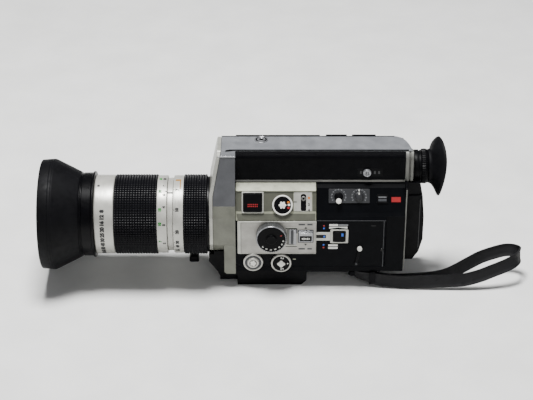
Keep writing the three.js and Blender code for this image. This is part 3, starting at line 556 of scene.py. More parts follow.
HOOD_PROFILE = rounded([
    (-180, 49.8), (-180, 52.7), (-170.6, 53.4), (-170.3, 53.1), (-170.0, 53.5), (-168.0, 53.5), (-167.7, 53.2),
    (-167.4, 53.5), (-166.2, 53.1), (-155, 47.6), (-143.2, 41.6), (-142.2, 41.0), (-141.6, 38.0), (-143, 37.8),
    (-167, 50),
], 0.9, 3)
piece("hood_rubber", turned(HOOD_PROFILE, LENS, 128), "focus_barrel", "soft_rubber", ["lens_hood"], crease_deg=50)
COLLAR = rounded([
    (-142.4, 37.9), (-142.1, 40.6), (-141.2, 40.6), (-140.9, 39.5), (-139.9, 39.5), (-139.6, 40.3), (-130.8, 40.4),
    (-130.3, 41.5), (-128.9, 41.7), (-128.2, 40.9), (-128.2, 38.3), (-131.2, 37.0),
], 0.4, 3)
piece("hood_collar", turned(COLLAR, LENS, 160), "focus_barrel", "gloss_black", finish=FINISH["lens_black"], crease_deg=40)
HOOD_MOUNT = rounded([(-131.2, 27.5), (-125.7, 27.5), (-125.7, 30.7), (-128.3, 30.7), (-128.3, 38.2), (-131, 36.9)], 0.3, 2)
piece("hood_mount", turned(HOOD_MOUNT, LENS, 128), "focus_barrel", "lens_black")

FRONT_RING = rounded([
    (-127.9, 31), (-124, 31), (-124, 34), (-109.2, 34), (-109.2, 37.4), (-110, 38.1), (-126.9, 38.1), (-127.9, 37.2),
], 0.35, 3)
piece("front_ring_barrel", turned(FRONT_RING, LENS, 144), "focus_barrel", "lens_silver", ["front_ring"])
piece("focus_grip_pads", knurled(-109, -68.2, 38.5, 33.9, 96, 16, 0.75, LENS), "focus_barrel", "lens_rubber",
      ["focus_grip"], crease_deg=20)
SCALE_R = 37.6
SCALE_EDGE = 0.5


def scale_ring(x0, x1, radius):
    return turned(rounded([(x0, 33.8), (x1, 33.8), (x1, radius), (x0, radius)], SCALE_EDGE, 3), LENS, 144)


piece("focus_scale_barrel", scale_ring(-68, -58.6, SCALE_R), "focus_barrel", "lens_silver", ["focus_scale_ring"])
piece("zoom_scale_barrel", scale_ring(-52.6, -43, SCALE_R), "zoom_ring", "lens_silver", ["zoom_scale_ring"])
piece("zoom_grip_pads", knurled(-43, -20.8, 38.5, 33.9, 96, 9, 0.75, LENS), "zoom_ring", "lens_rubber",
      ["zoom_grip"], crease_deg=20)

TUBE = rounded([
    (-104, 30.5), (-104, 33.4), (-18.8, 33.4), (-18.8, 27), (-10, 27), (-10, 24), (-21, 24), (-24, 30.5),
], 0.3, 2)
piece("lens_tube_barrel", turned(TUBE, LENS, 128), "camera_body", "lens_black", ["lens_tube"])
piece("index_ring", turned(rounded([(-58.2, 33), (-53, 33), (-53, 35.2), (-58.2, 35.2)], 0.4, 3), LENS, 144),
      "camera_body", "lens_silver")
FLANGE = rounded([(-20.5, 33.9), (-18.5, 33.9), (-18.5, 36.6), (-20.5, 36.6)], 0.4, 3)
piece("lens_root_ring", turned(FLANGE, LENS, 128), "camera_body", "lens_black", ["lens_flange"])

# Concentric steps behind the front glass, and the glass itself.
BAFFLE = [(-124.8, 33.2), (-124.8, 30.4)]
for step in range(6):
    BAFFLE += [(-124.4 + 0.3 * step, 30.4 - 0.12 * step), (-124.4 + 0.3 * step, 30.0 - 0.12 * step)]
BAFFLE += [(-122.5, 29.2), (-122.0, 33.2)]
piece("front_name_ring", turned(BAFFLE, LENS, 128), "focus_barrel", "lens_black")
dome = [(-123.6 + 4.6 * (r / 29.0) ** 2, r) for r in [29.0 * k / 16 for k in range(17)]]
GLASS = dome + [(-113, 29), (-112, 20), (-112, 0)]
piece("front_glass", turned(GLASS, LENS, 96), "focus_barrel", "optical_glass", ["front_element"], crease_deg=45)

LEVER_X = (low("zoom_lever").x + high("zoom_lever").x) / 2
LEVER_FOOT = low("zoom_lever").z


def zoom_lever():
    """A necked pin that widens to a ribbed finger pad."""
    down = axes((LEVER_X, 0, 0), (1, 0, 0), (0, 1, 0))
    levels = [(LENS_Z - 38, 3.4, 3.2), (LENS_Z - 41, 2.5, 2.6), (LENS_Z - 45.4, 2.4, 2.6), (LENS_Z - 46.4, 4.2, 3.9),
              (LENS_Z - 47.4, 4.6, 4.2), (LEVER_FOOT + 0.9, 4.7, 4.2), (LEVER_FOOT, 4.0, 3.5)]
    rings = []
    for z, half_x, half_y in levels:
        outline = rectangle(0, 0, 2 * half_x, 2 * half_y, 1.2, 4)
        rings.append([down @ Vector((x, y, z)) for x, y in outline])
    grooves = [plate(rectangle(0, y, 8.0, 0.5, 0.2, 2), LEVER_FOOT - 0.35, LEVER_FOOT + 0.3, down) for y in (-2.4, -1.2, 0, 1.2, 2.4)]
    return join(swept(rings), *grooves)


piece("zoom_lever_pin", zoom_lever(), "zoom_ring", "black_part", ["zoom_lever"], crease_deg=40, soft=0.15)


def lens_marks():
    """Numbers and lines on the rings of the lens."""
    metres = [(-61.0, angle, text) for angle, text in zip((-3, 14, 31, 50, 76, 108), ("20", "9", "6", "4", "3", "2"))]
    feet = [(-64.9, angle, text) for angle, text in zip((-3, 25, 54, 75, 104), ("60", "30", "15", "10", "7"))]
    lengths = [(-48.6, angle, text) for angle, text in zip((22, 54, 87, 106, 115, 127), ("7", "10", "20", "30", "40", "56"))]
    row = [(-119.8, 56 + 9.0 * i, str(n)) for i, n in enumerate((8, 12, 16, 20, 25, 30, 40, 50, 60, 80))]
    sets = [
        ("focus_numbers", metres, "black_mark", "focus_barrel", 3.5, SCALE_R),
        ("focus_numbers_green", feet, "green_mark", "focus_barrel", 3.5, SCALE_R),
        ("zoom_numbers", lengths, "black_mark", "zoom_ring", 4.0, SCALE_R),
        ("front_ring_numbers", row, "black_mark", "focus_barrel", 5.0, 38.1),
    ]
    for name, marks, paint, body, size, radius in sets:
        shapes = [glyphs(text, size, wrapped(LENS, along, angle, radius - 0.02), weight=0.085) for along, angle, text in marks]
        piece(name, join(*shapes), body, "lens_silver", finish=PRINT[paint])
    piece("index_line", ring_bar(LENS, -55.6, 25, 35.2, 5.2, 1.5, 0.2), "camera_body", "lens_silver", finish=PRINT["black_mark"])
    piece("focus_index_line", ring_bar(LENS, -59.4, 25, SCALE_R, 1.6, 1.2), "focus_barrel", "lens_silver", finish=PRINT["black_mark"])
    ticks = [ring_bar(LENS, -51.6, angle, SCALE_R, 1.2, 0.5) for angle in (22, 54, 87, 106, 115, 127)]
    piece("zoom_ticks", join(*ticks), "zoom_ring", "lens_silver", finish=PRINT["black_mark"])
    bracket = [ring_bar(LENS, -46.0, 10, SCALE_R, 1.1, 14.5), ring_bar(LENS, -48.2, 0.5, SCALE_R, 5.0, 3.0)]
    piece("zoom_bracket_mark", join(*bracket), "zoom_ring", "lens_silver", finish=PRINT["tan_mark"])
    dot = [wrapped(LENS, -123.8, 15, 38.1)(u, v, w) for w in (-0.05, 0.1) for u, v in circle(0, 0, 1.4, 16)]
    faces = [tuple(range(16)), tuple(range(16, 32))] + [(i, (i + 1) % 16, 16 + (i + 1) % 16, 16 + i) for i in range(16)]
    piece("front_ring_dot", (dot, faces), "focus_barrel", "lens_silver", finish=PRINT["black_mark"])


lens_marks()


# ---------------------------------------------------------------- viewfinder
CUP_LEAN = math.radians(50)
CUP_REACH = 5.0


def eyecup():
    """A flared rubber cup whose rim reaches further back beside the eye than above and below it."""
    profile = rounded([
        (190.8, 12.6), (195.5, 13.2), (197.9, 17), (200.2, 23), (201.9, 27.0), (201.9, 28.2), (201.0, 28.7),
        (199.4, 28.0), (196.9, 24.6), (194.7, 20.0), (193.4, 17.4), (192.2, 16.5), (190.8, 16.2),
    ], 1.2, 3)
    points, faces = turned(profile, EYE, 96)
    made = []
    for point in points:
        y, z = point.y - EYE_Y, point.z - EYE_Z
        flare = max(0.0, math.hypot(y, z) - 15.5) / 13
        angle = math.atan2(-y, z) - CUP_LEAN
        bowl = -1.3 * math.sin(math.pi * min(1.0, flare)) * math.cos(angle + math.pi / 2)
        made.append(point + Vector((CUP_REACH * flare * math.cos(angle) ** 2 + bowl, 0, 0)))
    return made, faces


piece("eyecup_rubber", eyecup(), "eyecup", "soft_rubber", ["eyecup"], crease_deg=60)

EYE_TUBE = rounded([
    (168.2, 12.2), (187.8, 12.2), (187.8, 14), (184, 14), (184, 15.4), (182.4, 15.4), (182.4, 14.7), (181.6, 14.7),
    (181.6, 15.9), (177.6, 15.9), (177.6, 14.9), (176.9, 14.9), (176.9, 15.4), (168.2, 15.4),
], 0.35, 2)
piece("eyepiece_barrel", turned(EYE_TUBE, EYE, 96), "camera_body", "black_part", ["eyepiece_tube"])
DIOPTER = rounded([(184.3, 14.3), (190.5, 14.3), (190.5, 16.0), (187.9, 16.9), (184.6, 16.6), (184.3, 16.2)], 0.3, 2)
piece("diopter_grip", turned(DIOPTER, EYE, 144, ribs(0.45, 16.1, 3)), "diopter_ring", "black_part", ["diopter_ring"])
eye_dome = [(187.6 - 4.4 * (r / 11.6) ** 2, r) for r in [11.6 * k / 12 for k in range(12, -1, -1)]]
piece("eye_glass", turned([(182.2, 0), (182.2, 11.6)] + eye_dome, EYE, 64), "camera_body", "optical_glass",
      ["eyepiece_lens"], crease_deg=45)


def bezel_outline(grow):
    """The viewfinder housing's section in (distance to the right, height), grown outwards."""
    left, foot, right, top = -8.75 - grow, 106.5 - grow, 28 + grow, 136.75 + grow
    return rounded([(left, foot), (right, foot), (right, 124), (0.4 * grow, top), (-4.5 - 0.4 * grow, top), (left, 132.5)], 2.2, 4)


def across(outline, x):
    return [Vector((x, y, z)) for y, z in outline]


def rear_frame():
    """Two bright hoops with a groove between them."""
    stations = [(168.05, -0.4), (168.4, 0.35), (171.2, 0.35), (171.7, -0.5), (172.4, -0.9), (172.9, -0.5), (173.3, 0.15), (175.5, 0.0), (176, -0.8)]
    return swept([across(bezel_outline(grow), x) for x, grow in stations])


piece("rear_frame_hoops", rear_frame(), "camera_body", "chrome_trim", ["rear_bezel"], finish=SHADE, crease_deg=40)
piece("rear_upright_strip", plate(rectangle(169.0, 62.2, 1.2, 88.4, 0.4), -2.8, -1.5, facing((0, -26, 0), (0, -1, 0))),
      "camera_body", "chrome_trim", finish=SHADE, soft=0.25)
piece("rear_strip_link", plate([(168, -24), (170.5, -24), (170.5, -6), (168, -6)], 99.2, 107.8, Matrix()), "camera_body",
      "black_part", soft=0.3)


# ---------------------------------------------------------------- covers and trim
def bent_sheet(section, spans, thick):
    """A sheet that follows a section of (y, z) points; spans give its ends in x at each point."""
    outlines = []
    for (y, z), (x0, x1), (ny, nz) in zip(section, spans, normals(section)):
        outlines.append([Vector((x0, y, z)), Vector((x1, y, z)),
                         Vector((x1, y + ny * thick, z + nz * thick)), Vector((x0, y + ny * thick, z + nz * thick))])
    return swept(outlines)


def normals(section):
    """Unit normals of a line of points, on its left."""
    made = []
    for i in range(len(section)):
        a, b = Vector(section[max(0, i - 1)]), Vector(section[min(len(section) - 1, i + 1)])
        d = (b - a).normalized()
        made.append((-d.y, d.x))
    return made


HOUSING_FRONT, HOUSING_REAR = low("left_housing").x, high("left_housing").x
COVER_SECTION = rounded([(-8.0, 109.2), (-8.0, 132.6), (-4.3, 136.55)], 2.0, 5, closed=False)
piece("finder_cover", bent_sheet(COVER_SECTION, [(HOUSING_FRONT + 0.6, HOUSING_REAR - 1.2)] * len(COVER_SECTION), 0.5),
      "camera_body", "black_shell", finish=LEATHER, crease_deg=45)
piece("cover_edge_line", plate([(-3.2, -5.0), (-1.4, -3.4), (1.2, -2.5), (171, -2.5), (171, -4.3), (6.6, -4.3)], -0.3, 0.15, TOP), "camera_body", "black_part")
piece("top_edge_line", plate(rectangle(76, 24.5, 166, 0.9, 0.2), -0.2, 0.35, TOP), "camera_body", "black_part")
RAIL_SECTION = [(25.2, 136.6), (25.2, 138.2), (27.2, 138.2), (28.4, 136.8), (28.4, 133.4)]
piece("top_rail", swept([[Vector((x, y, z)) for y, z in RAIL_SECTION] for x in (6.7, 87.6)]), "camera_body", "black_part", soft=0.3)
piece("hood_edge_trim", plate(rectangle(-1.6, 133.2, 16.4, 1.5, 0.4), 0.0, 0.35, UPPER), "camera_body", "chrome_trim", finish=TRIM, soft=0.12)
piece("right_cover", plate(rectangle(-44, 76, 70, 100, 3.0, 5), 0, 0.5, RIGHT), "camera_body", "black_shell", finish=LEATHER)
piece("door_cover", plate(rectangle(-126, 68, 74, 76, 4.0, 5), 0, 0.5, RIGHT), "film_door", "black_shell", finish=LEATHER)
# Painted highlight: a lighter line down the door where its face catches the light.
piece("door_highlight_line", plate(rectangle(183.4, 62, 0.6, 54, 0.2), 0, 0.25, facing((0, -12, 0), (0, -1, 0))), "film_door", "instrument_grey")


def screw(name, base, radius, body):
    head = turned(rounded([(0, 0), (0, radius), (0.35, radius), (0.55, radius * 0.8), (0.55, 0)], 0.1, 2, closed=False), base, 24)
    slots = [plate([(-radius * 0.7, -0.18), (radius * 0.7, -0.18), (radius * 0.7, 0.18), (-radius * 0.7, 0.18)], 0.5, 0.62,
                   shifted(base, 0, 0, 0, turn)) for turn in (20, 110)]
    piece(name, head, body, "steel_part", soft=0.05)
    piece(name + "_cross", join(*slots), body, "black_part")


for index, (x, z) in enumerate([(-13, 28), (-13, 122), (-76, 122), (-76, 28)]):
    screw(f"right_screw_{index}", shifted(RIGHT, x, z, 0.5), 1.8, "camera_body")
for index, (x, z) in enumerate([(-92, 34), (-92, 102), (-160, 102), (-160, 34)]):
    screw(f"door_screw_{index}", shifted(RIGHT, x, z, 0.5), 1.4, "film_door")

SOCKET_X = (low("release_socket").x + high("release_socket").x) / 2
SOCKET_Y = (low("release_socket").y + high("release_socket").y) / 2
SOCKET = rounded([
    (-3, 2), (-3, 2.9), (0, 2.9), (0, 6.6), (0.6, 6.5), (0.8, 5.9), (0.2, 5.3), (0.2, 4.1), (0.9, 3.8), (1.0, 2.6), (0.6, 2),
], 0.15, 2)
piece("release_socket_ring", turned(SOCKET, shifted(TOP, SOCKET_X, SOCKET_Y), 64), "camera_body", "chrome_trim", ["release_socket"], finish=TRIM)
piece("release_socket_groove", turned([(0.1, 4.1), (0.1, 5.4), (0.35, 5.3), (0.35, 4.2)], shifted(TOP, SOCKET_X, SOCKET_Y), 64),
      "camera_body", "black_part")
piece("release_socket_well", turned([(-2.6, 0), (-2.6, 1.95), (0.3, 1.95), (0.3, 1.5), (-1.8, 1.2), (-1.8, 0)],
                                    shifted(TOP, SOCKET_X, SOCKET_Y), 32), "camera_body", "black_part")

for node in ("tele_button", "wide_button"):
    corner, far = low(node), high(node)
    middle_x, middle_y = (corner.x + far.x) / 2, (corner.y + far.y) / 2
    cap = plate(rectangle(middle_x, middle_y, far.x - corner.x, far.y - corner.y, 1.2, 5), -0.7, 0.2, TOP)
    stem = plate(rectangle(middle_x, middle_y, 4.0, 1.4, 0.3), -5, -0.6, TOP)
    bars = [plate(rectangle(middle_x + dx, middle_y, 0.7, 1.8, 0.3, 2), 0.1, 0.4, TOP) for dx in (-6, -4, -2, 0, 2, 4, 6)]
    piece(node + "_cap", join(cap, stem, *bars), node, "black_part", [node], soft=0.2)


# ---------------------------------------------------------------- control dials
def dial_cap(radius, lift, height, stem=1.8, dish=0.3):
    """A turned knob: stem, skirt, bevelled edge and a slightly sunk face."""
    top = lift + height
    return rounded([
        (-5, 0), (-5, stem), (lift, stem), (lift, radius), (top - 0.5, radius), (top, radius - 0.6),
        (top, radius - 1.2), (top - dish, radius - 1.5), (top - dish, 0),
    ], 0.15, 2, closed=False)


def tick_marks(base, radius, length, width, angles, lift):
    return join(*[
        plate([(radius, -width / 2), (radius + length, -width / 2), (radius + length, width / 2), (radius, width / 2)],
              lift, lift + 0.1, shifted(base, 0, 0, 0, angle))
        for angle in angles
    ])


def numbers_round(base, radius, size, lift, marks):
    """Digits round a dial, their feet to the centre. Marks are (angle from the dial's right, text)."""
    shapes = []
    for angle, text in marks:
        a = math.radians(angle)
        shapes.append(glyphs(text, size, flat(base, radius * math.cos(a), radius * math.sin(a), lift, angle - 90)))
    return join(*shapes)


def speed_dial():
    base = pivot("speed_turn")
    radius = 14.8
    face_radius = 13.4
    profile = rounded([
        (-5, 0), (-5, 1.8), (0.3, 1.8), (0.3, radius), (6.6, radius), (7.4, face_radius), (7.9, face_radius), (7.9, 0),
    ], 0.15, 2, closed=False)
    piece("speed_dial_skirt", turned(profile, base, 180, ribs(0.9, radius - 0.2, 3)), "speed_dial", "brushed_panel",
          ["speed_dial"], finish=DIAL_SKIRT, crease_deg=25)
    bezel = rounded([(7.2, 13.6), (7.2, 14.4), (7.8, 14.4), (8.2, 14.2), (8.3, 13.9), (8.2, 13.6)], 0.12, 3)
    piece("speed_dial_bezel", turned(bezel, base, 144), "speed_dial", "white_plastic", finish=TRIM)
    piece("speed_dial_face", turned([(7.8, 0), (7.8, 13.65), (8.15, 13.65), (8.15, 0)], base, 96), "speed_dial", "black_part")
    hub = rounded([(8.1, 0), (8.1, 5.4), (9.3, 5.0), (9.5, 4.0), (9.1, 0)], 0.3, 3, closed=False)
    piece("speed_dial_hub", turned(hub, base, 64), "speed_dial", "black_part")
    white = [(-8, "18"), (-28, "24"), (-48, "36"), (-70, "48"), (-92, "54"), (-114, "64"), (-134, "72")]
    piece("speed_dial_numbers", numbers_round(base, 11.4, 2.0, 8.15, white), "speed_dial", "white_plastic", finish=PRINT["white_mark"])
    piece("speed_dial_red_number", numbers_round(base, 10.0, 2.7, 8.15, [(24, "9")]), "speed_dial", "white_plastic", finish=PRINT["red_mark"])
    dots = tick_marks(base, 13.6, 0.7, 0.6, range(-140, 40, 9), 8.26)
    piece("speed_dial_ticks", dots, "speed_dial", "white_plastic", finish=PRINT["black_mark"])


def ringed_dial(name, node, joint, body, radius, lift, height, hub_lobes, hub_radius, ring_slot="white_plastic"):
    """A black-faced dial with a pale rim and a lobed pale hub."""
    base = pivot(joint)
    piece(name + "_rim", turned(dial_cap(radius, lift, height), base, 120, ribs(0.25, radius - 0.1, 2)), body, ring_slot, [node])
    top = lift + height
    piece(name + "_face", turned([(top - 0.4, 0), (top - 0.4, radius - 1.5), (top - 0.12, radius - 1.6), (top - 0.12, 0)], base, 96),
          body, "black_part")
    hub = join(plate(lobed(hub_radius, hub_lobes, hub_radius * 0.28), top - 0.3, top + 1.1, base),
               plate(circle(0, 0, hub_radius * 0.45), top + 0.9, top + 1.4, base))
    piece(name + "_hub", hub, body, "white_plastic", soft=0.3)
    return base, top


def mode_dial():
    base, top = ringed_dial("mode_dial", "mode_dial", "mode_turn", "mode_dial", 9.8, 1.6, 3.2, 6, 3.7)
    spots = {"orange_mark": 26, "white_mark": 3, "red_mark": -24}
    for paint, angle in spots.items():
        a = math.radians(angle)
        spot = rectangle(6.2 * math.cos(a), 6.2 * math.sin(a), 2.4, 1.9, 0.6)
        piece("mode_" + paint, plate(spot, top - 0.15, top, base), "mode_dial", "white_plastic", finish=PRINT[paint])


def main_switch():
    base, top = ringed_dial("main_switch", "main_switch", "main_turn", "main_switch", 9.8, 0.3, 2.6, 4, 3.9, "lens_silver")
    ticks = tick_marks(base, 5.4, 1.6, 0.8, (72, 90, -90, -72), top - 0.12)
    piece("main_switch_ticks", ticks, "main_switch", "white_plastic", finish=PRINT["white_mark"])
    dot = plate(circle(6.3, 0, 0.7, 16), top - 0.15, top, base)
    piece("main_switch_dot", dot, "main_switch", "white_plastic", finish=PRINT["white_mark"])


def cell_cap():
    base = pivot("cell_cap_turn")
    radius = 9.6
    profile = rounded([
        (-5, 0), (-5, 1.8), (0.3, 1.8), (0.3, radius), (1.5, radius), (2.1, radius - 0.7), (2.1, radius - 1.5),
        (1.0, radius - 1.8), (1.0, radius - 3.8), (2.7, radius - 4.2), (3.0, radius - 4.6), (2.7, 0),
    ], 0.2, 2, closed=False)
    piece("cell_cap_disc", turned(profile, base, 120), "cell_cap", "olive_panel", ["cell_cap"], finish=FINISH["lens_silver"])
    piece("cell_cap_groove", turned([(0.8, 5.7), (0.8, 7.9), (1.15, 7.9), (1.15, 5.7)], base, 96), "cell_cap", "black_part",
          finish=PRINT["dim_mark"])
    piece("cell_cap_dish", turned([(2.6, 0), (2.6, 4.8), (2.95, 4.8), (2.85, 0)], base, 96), "cell_cap", "steel_part", finish=SHADE)
    piece("cell_cap_hub", plate(lobed(3.1, 5, 0.9), 2.7, 3.7, base), "cell_cap", "white_plastic", soft=0.3)
    piece("cell_cap_ticks", tick_marks(base, 7.9, 0.5, 0.35, range(0, 360, 18), 2.1), "cell_cap", "black_part",
          finish=PRINT["grey_mark"])


speed_dial()
mode_dial()
main_switch()
cell_cap()


# ---------------------------------------------------------------- console
CHECK = (23.0, 9.8)
SLOT = (71.4, 9.6)
SLOT_TRAVEL = 8.0
SLOPE = 1.3  # the console panel's thickness over the housing
HOUSING_FOOT_END = high("console_panel").x - 0.8


def console_pieces():
    fields = [rectangle(34.5, 10.8, 54.6, 18.6, 0.8), rectangle(81.5, 10.8, 3.4, 18.6, 0.8)]
    # Painted shade: darker olive plates over the console's two fields.
    piece("console_recess", join(*[plate(f, SLOPE - 0.2, SLOPE + 0.15, CONSOLE) for f in fields]), "camera_body",
          "olive_panel", finish=OLIVE_PAINTED_SHADE)
    # Painted shade: a thin darkened sheet over the ledge below the console, shaded by the dials above it.
    foot = bent_sheet([(-29.1, 76.2), (-25.4, 81.2)], [(8.8, HOUSING_FOOT_END), (7.6, HOUSING_FOOT_END)], 0.15)
    piece("console_foot", foot, "camera_body", "olive_panel", finish=OLIVE_PAINTED_SHADE)
    piece("console_slot_plate", window(rectangle(SLOT[0] - 0.6, 10.8, 17.0, 18.2, 0.6, 4), rectangle(*SLOT, 5.2, 16.8, 2.5, 4),
                                       SLOPE - 0.2, SLOPE + 0.3, CONSOLE), "camera_body", "front_plate", soft=0.1)
    piece("console_slot_bed", plate(rectangle(*SLOT, 5.2, 16.8, 2.5, 6), SLOPE - 0.4, SLOPE + 0.12, CONSOLE), "camera_body", "black_part")
    frame_shape = window(rectangle(*CHECK, 21.0, 20.4, 1.0, 3), rectangle(*CHECK, 18.4, 18.2, 0.8, 3), SLOPE - 0.2, SLOPE + 1.7, CONSOLE)
    piece("check_frame", frame_shape, "camera_body", "front_plate", soft=0.3)
    piece("check_frame_well", plate(rectangle(*CHECK, 18.2, 18.0, 0.8), SLOPE - 0.1, SLOPE + 0.25, CONSOLE), "camera_body", "gloss_black")
    cap = plate(rectangle(*CHECK, 17.0, 16.8, 1.0, 4), 2.2, 4.2, CONSOLE)
    stem = plate(rectangle(*CHECK, 3.2, 3.2, 0.3), -4, 2.4, CONSOLE)
    piece("check_button_cap", join(cap, stem), "check_button", "black_part", ["check_button"], soft=0.5)
    marks = [plate(rectangle(CHECK[0] - 4.2 + 1.7 * i, CHECK[1] - 2.8 + dy, 1.0, 1.1, 0.2), 4.15, 4.28, CONSOLE)
             for i in range(6) for dy in (-0.9, 0.9)]
    piece("check_button_marks", join(*marks), "check_button", "white_plastic", finish=PRINT["red_mark"])
    knob_base = shifted(CONSOLE, SLOT[0], SLOT[1] + SLOT_TRAVEL / 2)
    knob = rounded([(-3, 0), (-3, 1.8), (1.6, 1.8), (1.6, 2.4), (2.8, 2.3), (3.2, 1.7), (2.9, 0)], 0.2, 2, closed=False)
    piece("slot_knob_cap", turned(knob, knob_base, 48), "slot_knob", "chrome_trim", ["slot_knob"], finish=SHADE)
    piece("slot_knob_tip", turned([(2.8, 0), (2.8, 1.1), (3.1, 1.0), (3.2, 0)], knob_base, 32), "slot_knob", "black_part")
    piece("mode_index", plate(rectangle(63.6, 10.4, 3.4, 0.8, 0.1), SLOPE + 0.2, SLOPE + 0.4, CONSOLE), "camera_body",
          "black_part", finish=PRINT["black_mark"])
    piece("slot_dot", plate(circle(76.6, 14.2, 1.1, 20), SLOPE + 0.2, SLOPE + 0.4, CONSOLE), "camera_body", "white_plastic",
          finish=PRINT["orange_mark"])
    digits = [glyphs(digit, 3.2, flat(CONSOLE, 76.6, up, SLOPE + 0.3), weight=0.07) for digit, up in (("2", 7.8), ("4", 2.5))]
    piece("slot_numbers", join(*digits), "camera_body", "black_part", finish=PRINT["black_mark"])


console_pieces()


# ---------------------------------------------------------------- side panel
LEVER = (60.0, 58.0)
SLIDER = (73.7, 58.8)
DISSOLVE = (105.8, 58.0)


def side_panel_pieces():
    piece("panel_face", plate(rectangle(47.3, 56.4, 72.4, 34.4, 0.8), 0, 0.3, PANEL), "camera_body", "brushed_panel", soft=0.12)
    rim = window(rectangle(46.1, 57, 75.2, 36.3, 0.8), rectangle(47.5, 56.5, 72.0, 34.4, 0.8), -0.1, 0.7, PANEL)
    piece("panel_rim", rim, "camera_body", "front_plate", soft=0.2)
    gap = window(rectangle(47.5, 56.5, 72.2, 34.6, 0.8), rectangle(47.7, 56.3, 71.4, 33.8, 0.8), 0, 0.36, PANEL)
    piece("panel_gap", gap, "camera_body", "black_part", finish=SHADE)
    for end, name in ((1, "upper"), (-1, "lower")):
        z = LEVER[1] + end * 10.0
        piece(f"lever_bracket_{name}", plate(rectangle(LEVER[0], z, 11.0, 1.0, 0.3), 0.2, 0.46, PANEL), "camera_body", "front_plate", soft=0.08)
        piece(f"lever_bracket_line_{name}", plate(rectangle(LEVER[0], z - 0.9, 11.0, 0.8, 0.2), 0.2, 0.4, PANEL), "camera_body", "black_part")
    piece("lever_track", plate(rectangle(*LEVER, 8.8, 18.6, 0.5), 0.2, 0.38, PANEL), "camera_body", "brushed_panel", finish=SHADE)
    piece("lever_track_line", plate(rectangle(LEVER[0] + 5.2, LEVER[1] + 6.0, 0.9, 5.0, 0.3), 0.3, 0.5, PANEL), "camera_body", "black_part")
    tab = join(plate(rectangle(LEVER[0] + 1.4, LEVER[1], 6.8, 16.0, 0.6), 0.5, 1.1, PANEL),
               plate(rectangle(LEVER[0] + 3.4, LEVER[1], 2.6, 15.6, 0.4), 1.0, 2.7, PANEL))
    piece("fade_lever_tab", tab, "fade_lever", "chrome_trim", ["fade_lever"], finish=TRIM, soft=0.2)
    piece("fade_lever_slit", plate(rectangle(LEVER[0] + 0.6, LEVER[1], 2.6, 15.4, 0.4), 1.05, 1.25, PANEL), "fade_lever", "black_part",
          finish=PRINT["dim_mark"])
    x, z = SLIDER
    body = join(plate(rectangle(x, z, 13.6, 12.4, 0.6), 0.4, 1.6, PANEL), plate(rectangle(x, z + 3.4, 13.6, 2.6, 0.5), 1.5, 3.1, PANEL))
    piece("fade_slider_body", body, "fade_slider", "front_plate", ["fade_slider"], finish=TRIM, soft=0.3)
    # Painted shadow: a dim plate a little larger than the slider and set lower, for the shadow gap round and below it.
    edge = plate(rectangle(x, z - 0.4, 15.0, 14.2, 0.6), 0.25, 0.5, PANEL)
    piece("fade_slider_shadow", edge, "camera_body", "black_part", finish=PRINT["dim_mark"])
    bars = [plate(rectangle(px, pz, width, 1.6, 0.2), 0.25, 0.4, PANEL)
            for px, pz, width in ((69.8, 71.4, 6.2), (77.6, 71.4, 5.0), (70.0, 44.3, 6.2), (77.6, 44.3, 4.4))]
    piece("slider_bars", join(*bars), "camera_body", "black_part", finish=PRINT["dim_mark"])
    piece("fade_slider_window", plate(rectangle(x, z - 2.4, 11.6, 5.6, 0.4), 1.5, 1.8, PANEL), "fade_slider", "gloss_black")
    teeth = [plate(rectangle(x - 3.2 + 1.6 * i, z - 2.4, 1.0, 1.6 + 0.5 * (i % 2), 0.2), 1.7, 1.9, PANEL) for i in range(5)]
    piece("fade_slider_marks", join(*teeth), "fade_slider", "white_plastic", finish=PRINT["white_mark"])
    up = plate([(x - 1.4, z + 8.0), (x + 1.4, z + 8.0), (x, z + 10.2)], 0.25, 0.38, PANEL)
    down = plate([(x, z - 11.0), (x + 1.4, z - 8.8), (x - 1.4, z - 8.8)], 0.25, 0.38, PANEL)
    piece("slider_arrows", join(up, down), "camera_body", "black_part", finish=PRINT["black_mark"])
    dial_line = plate(rectangle(55.9, 50.6, 2.2, 0.5, 0.1), 0.25, 0.42, shifted(PANEL, 0, 0, 0))
    piece("speed_index", dial_line, "camera_body", "black_part", finish=PRINT["black_mark"])


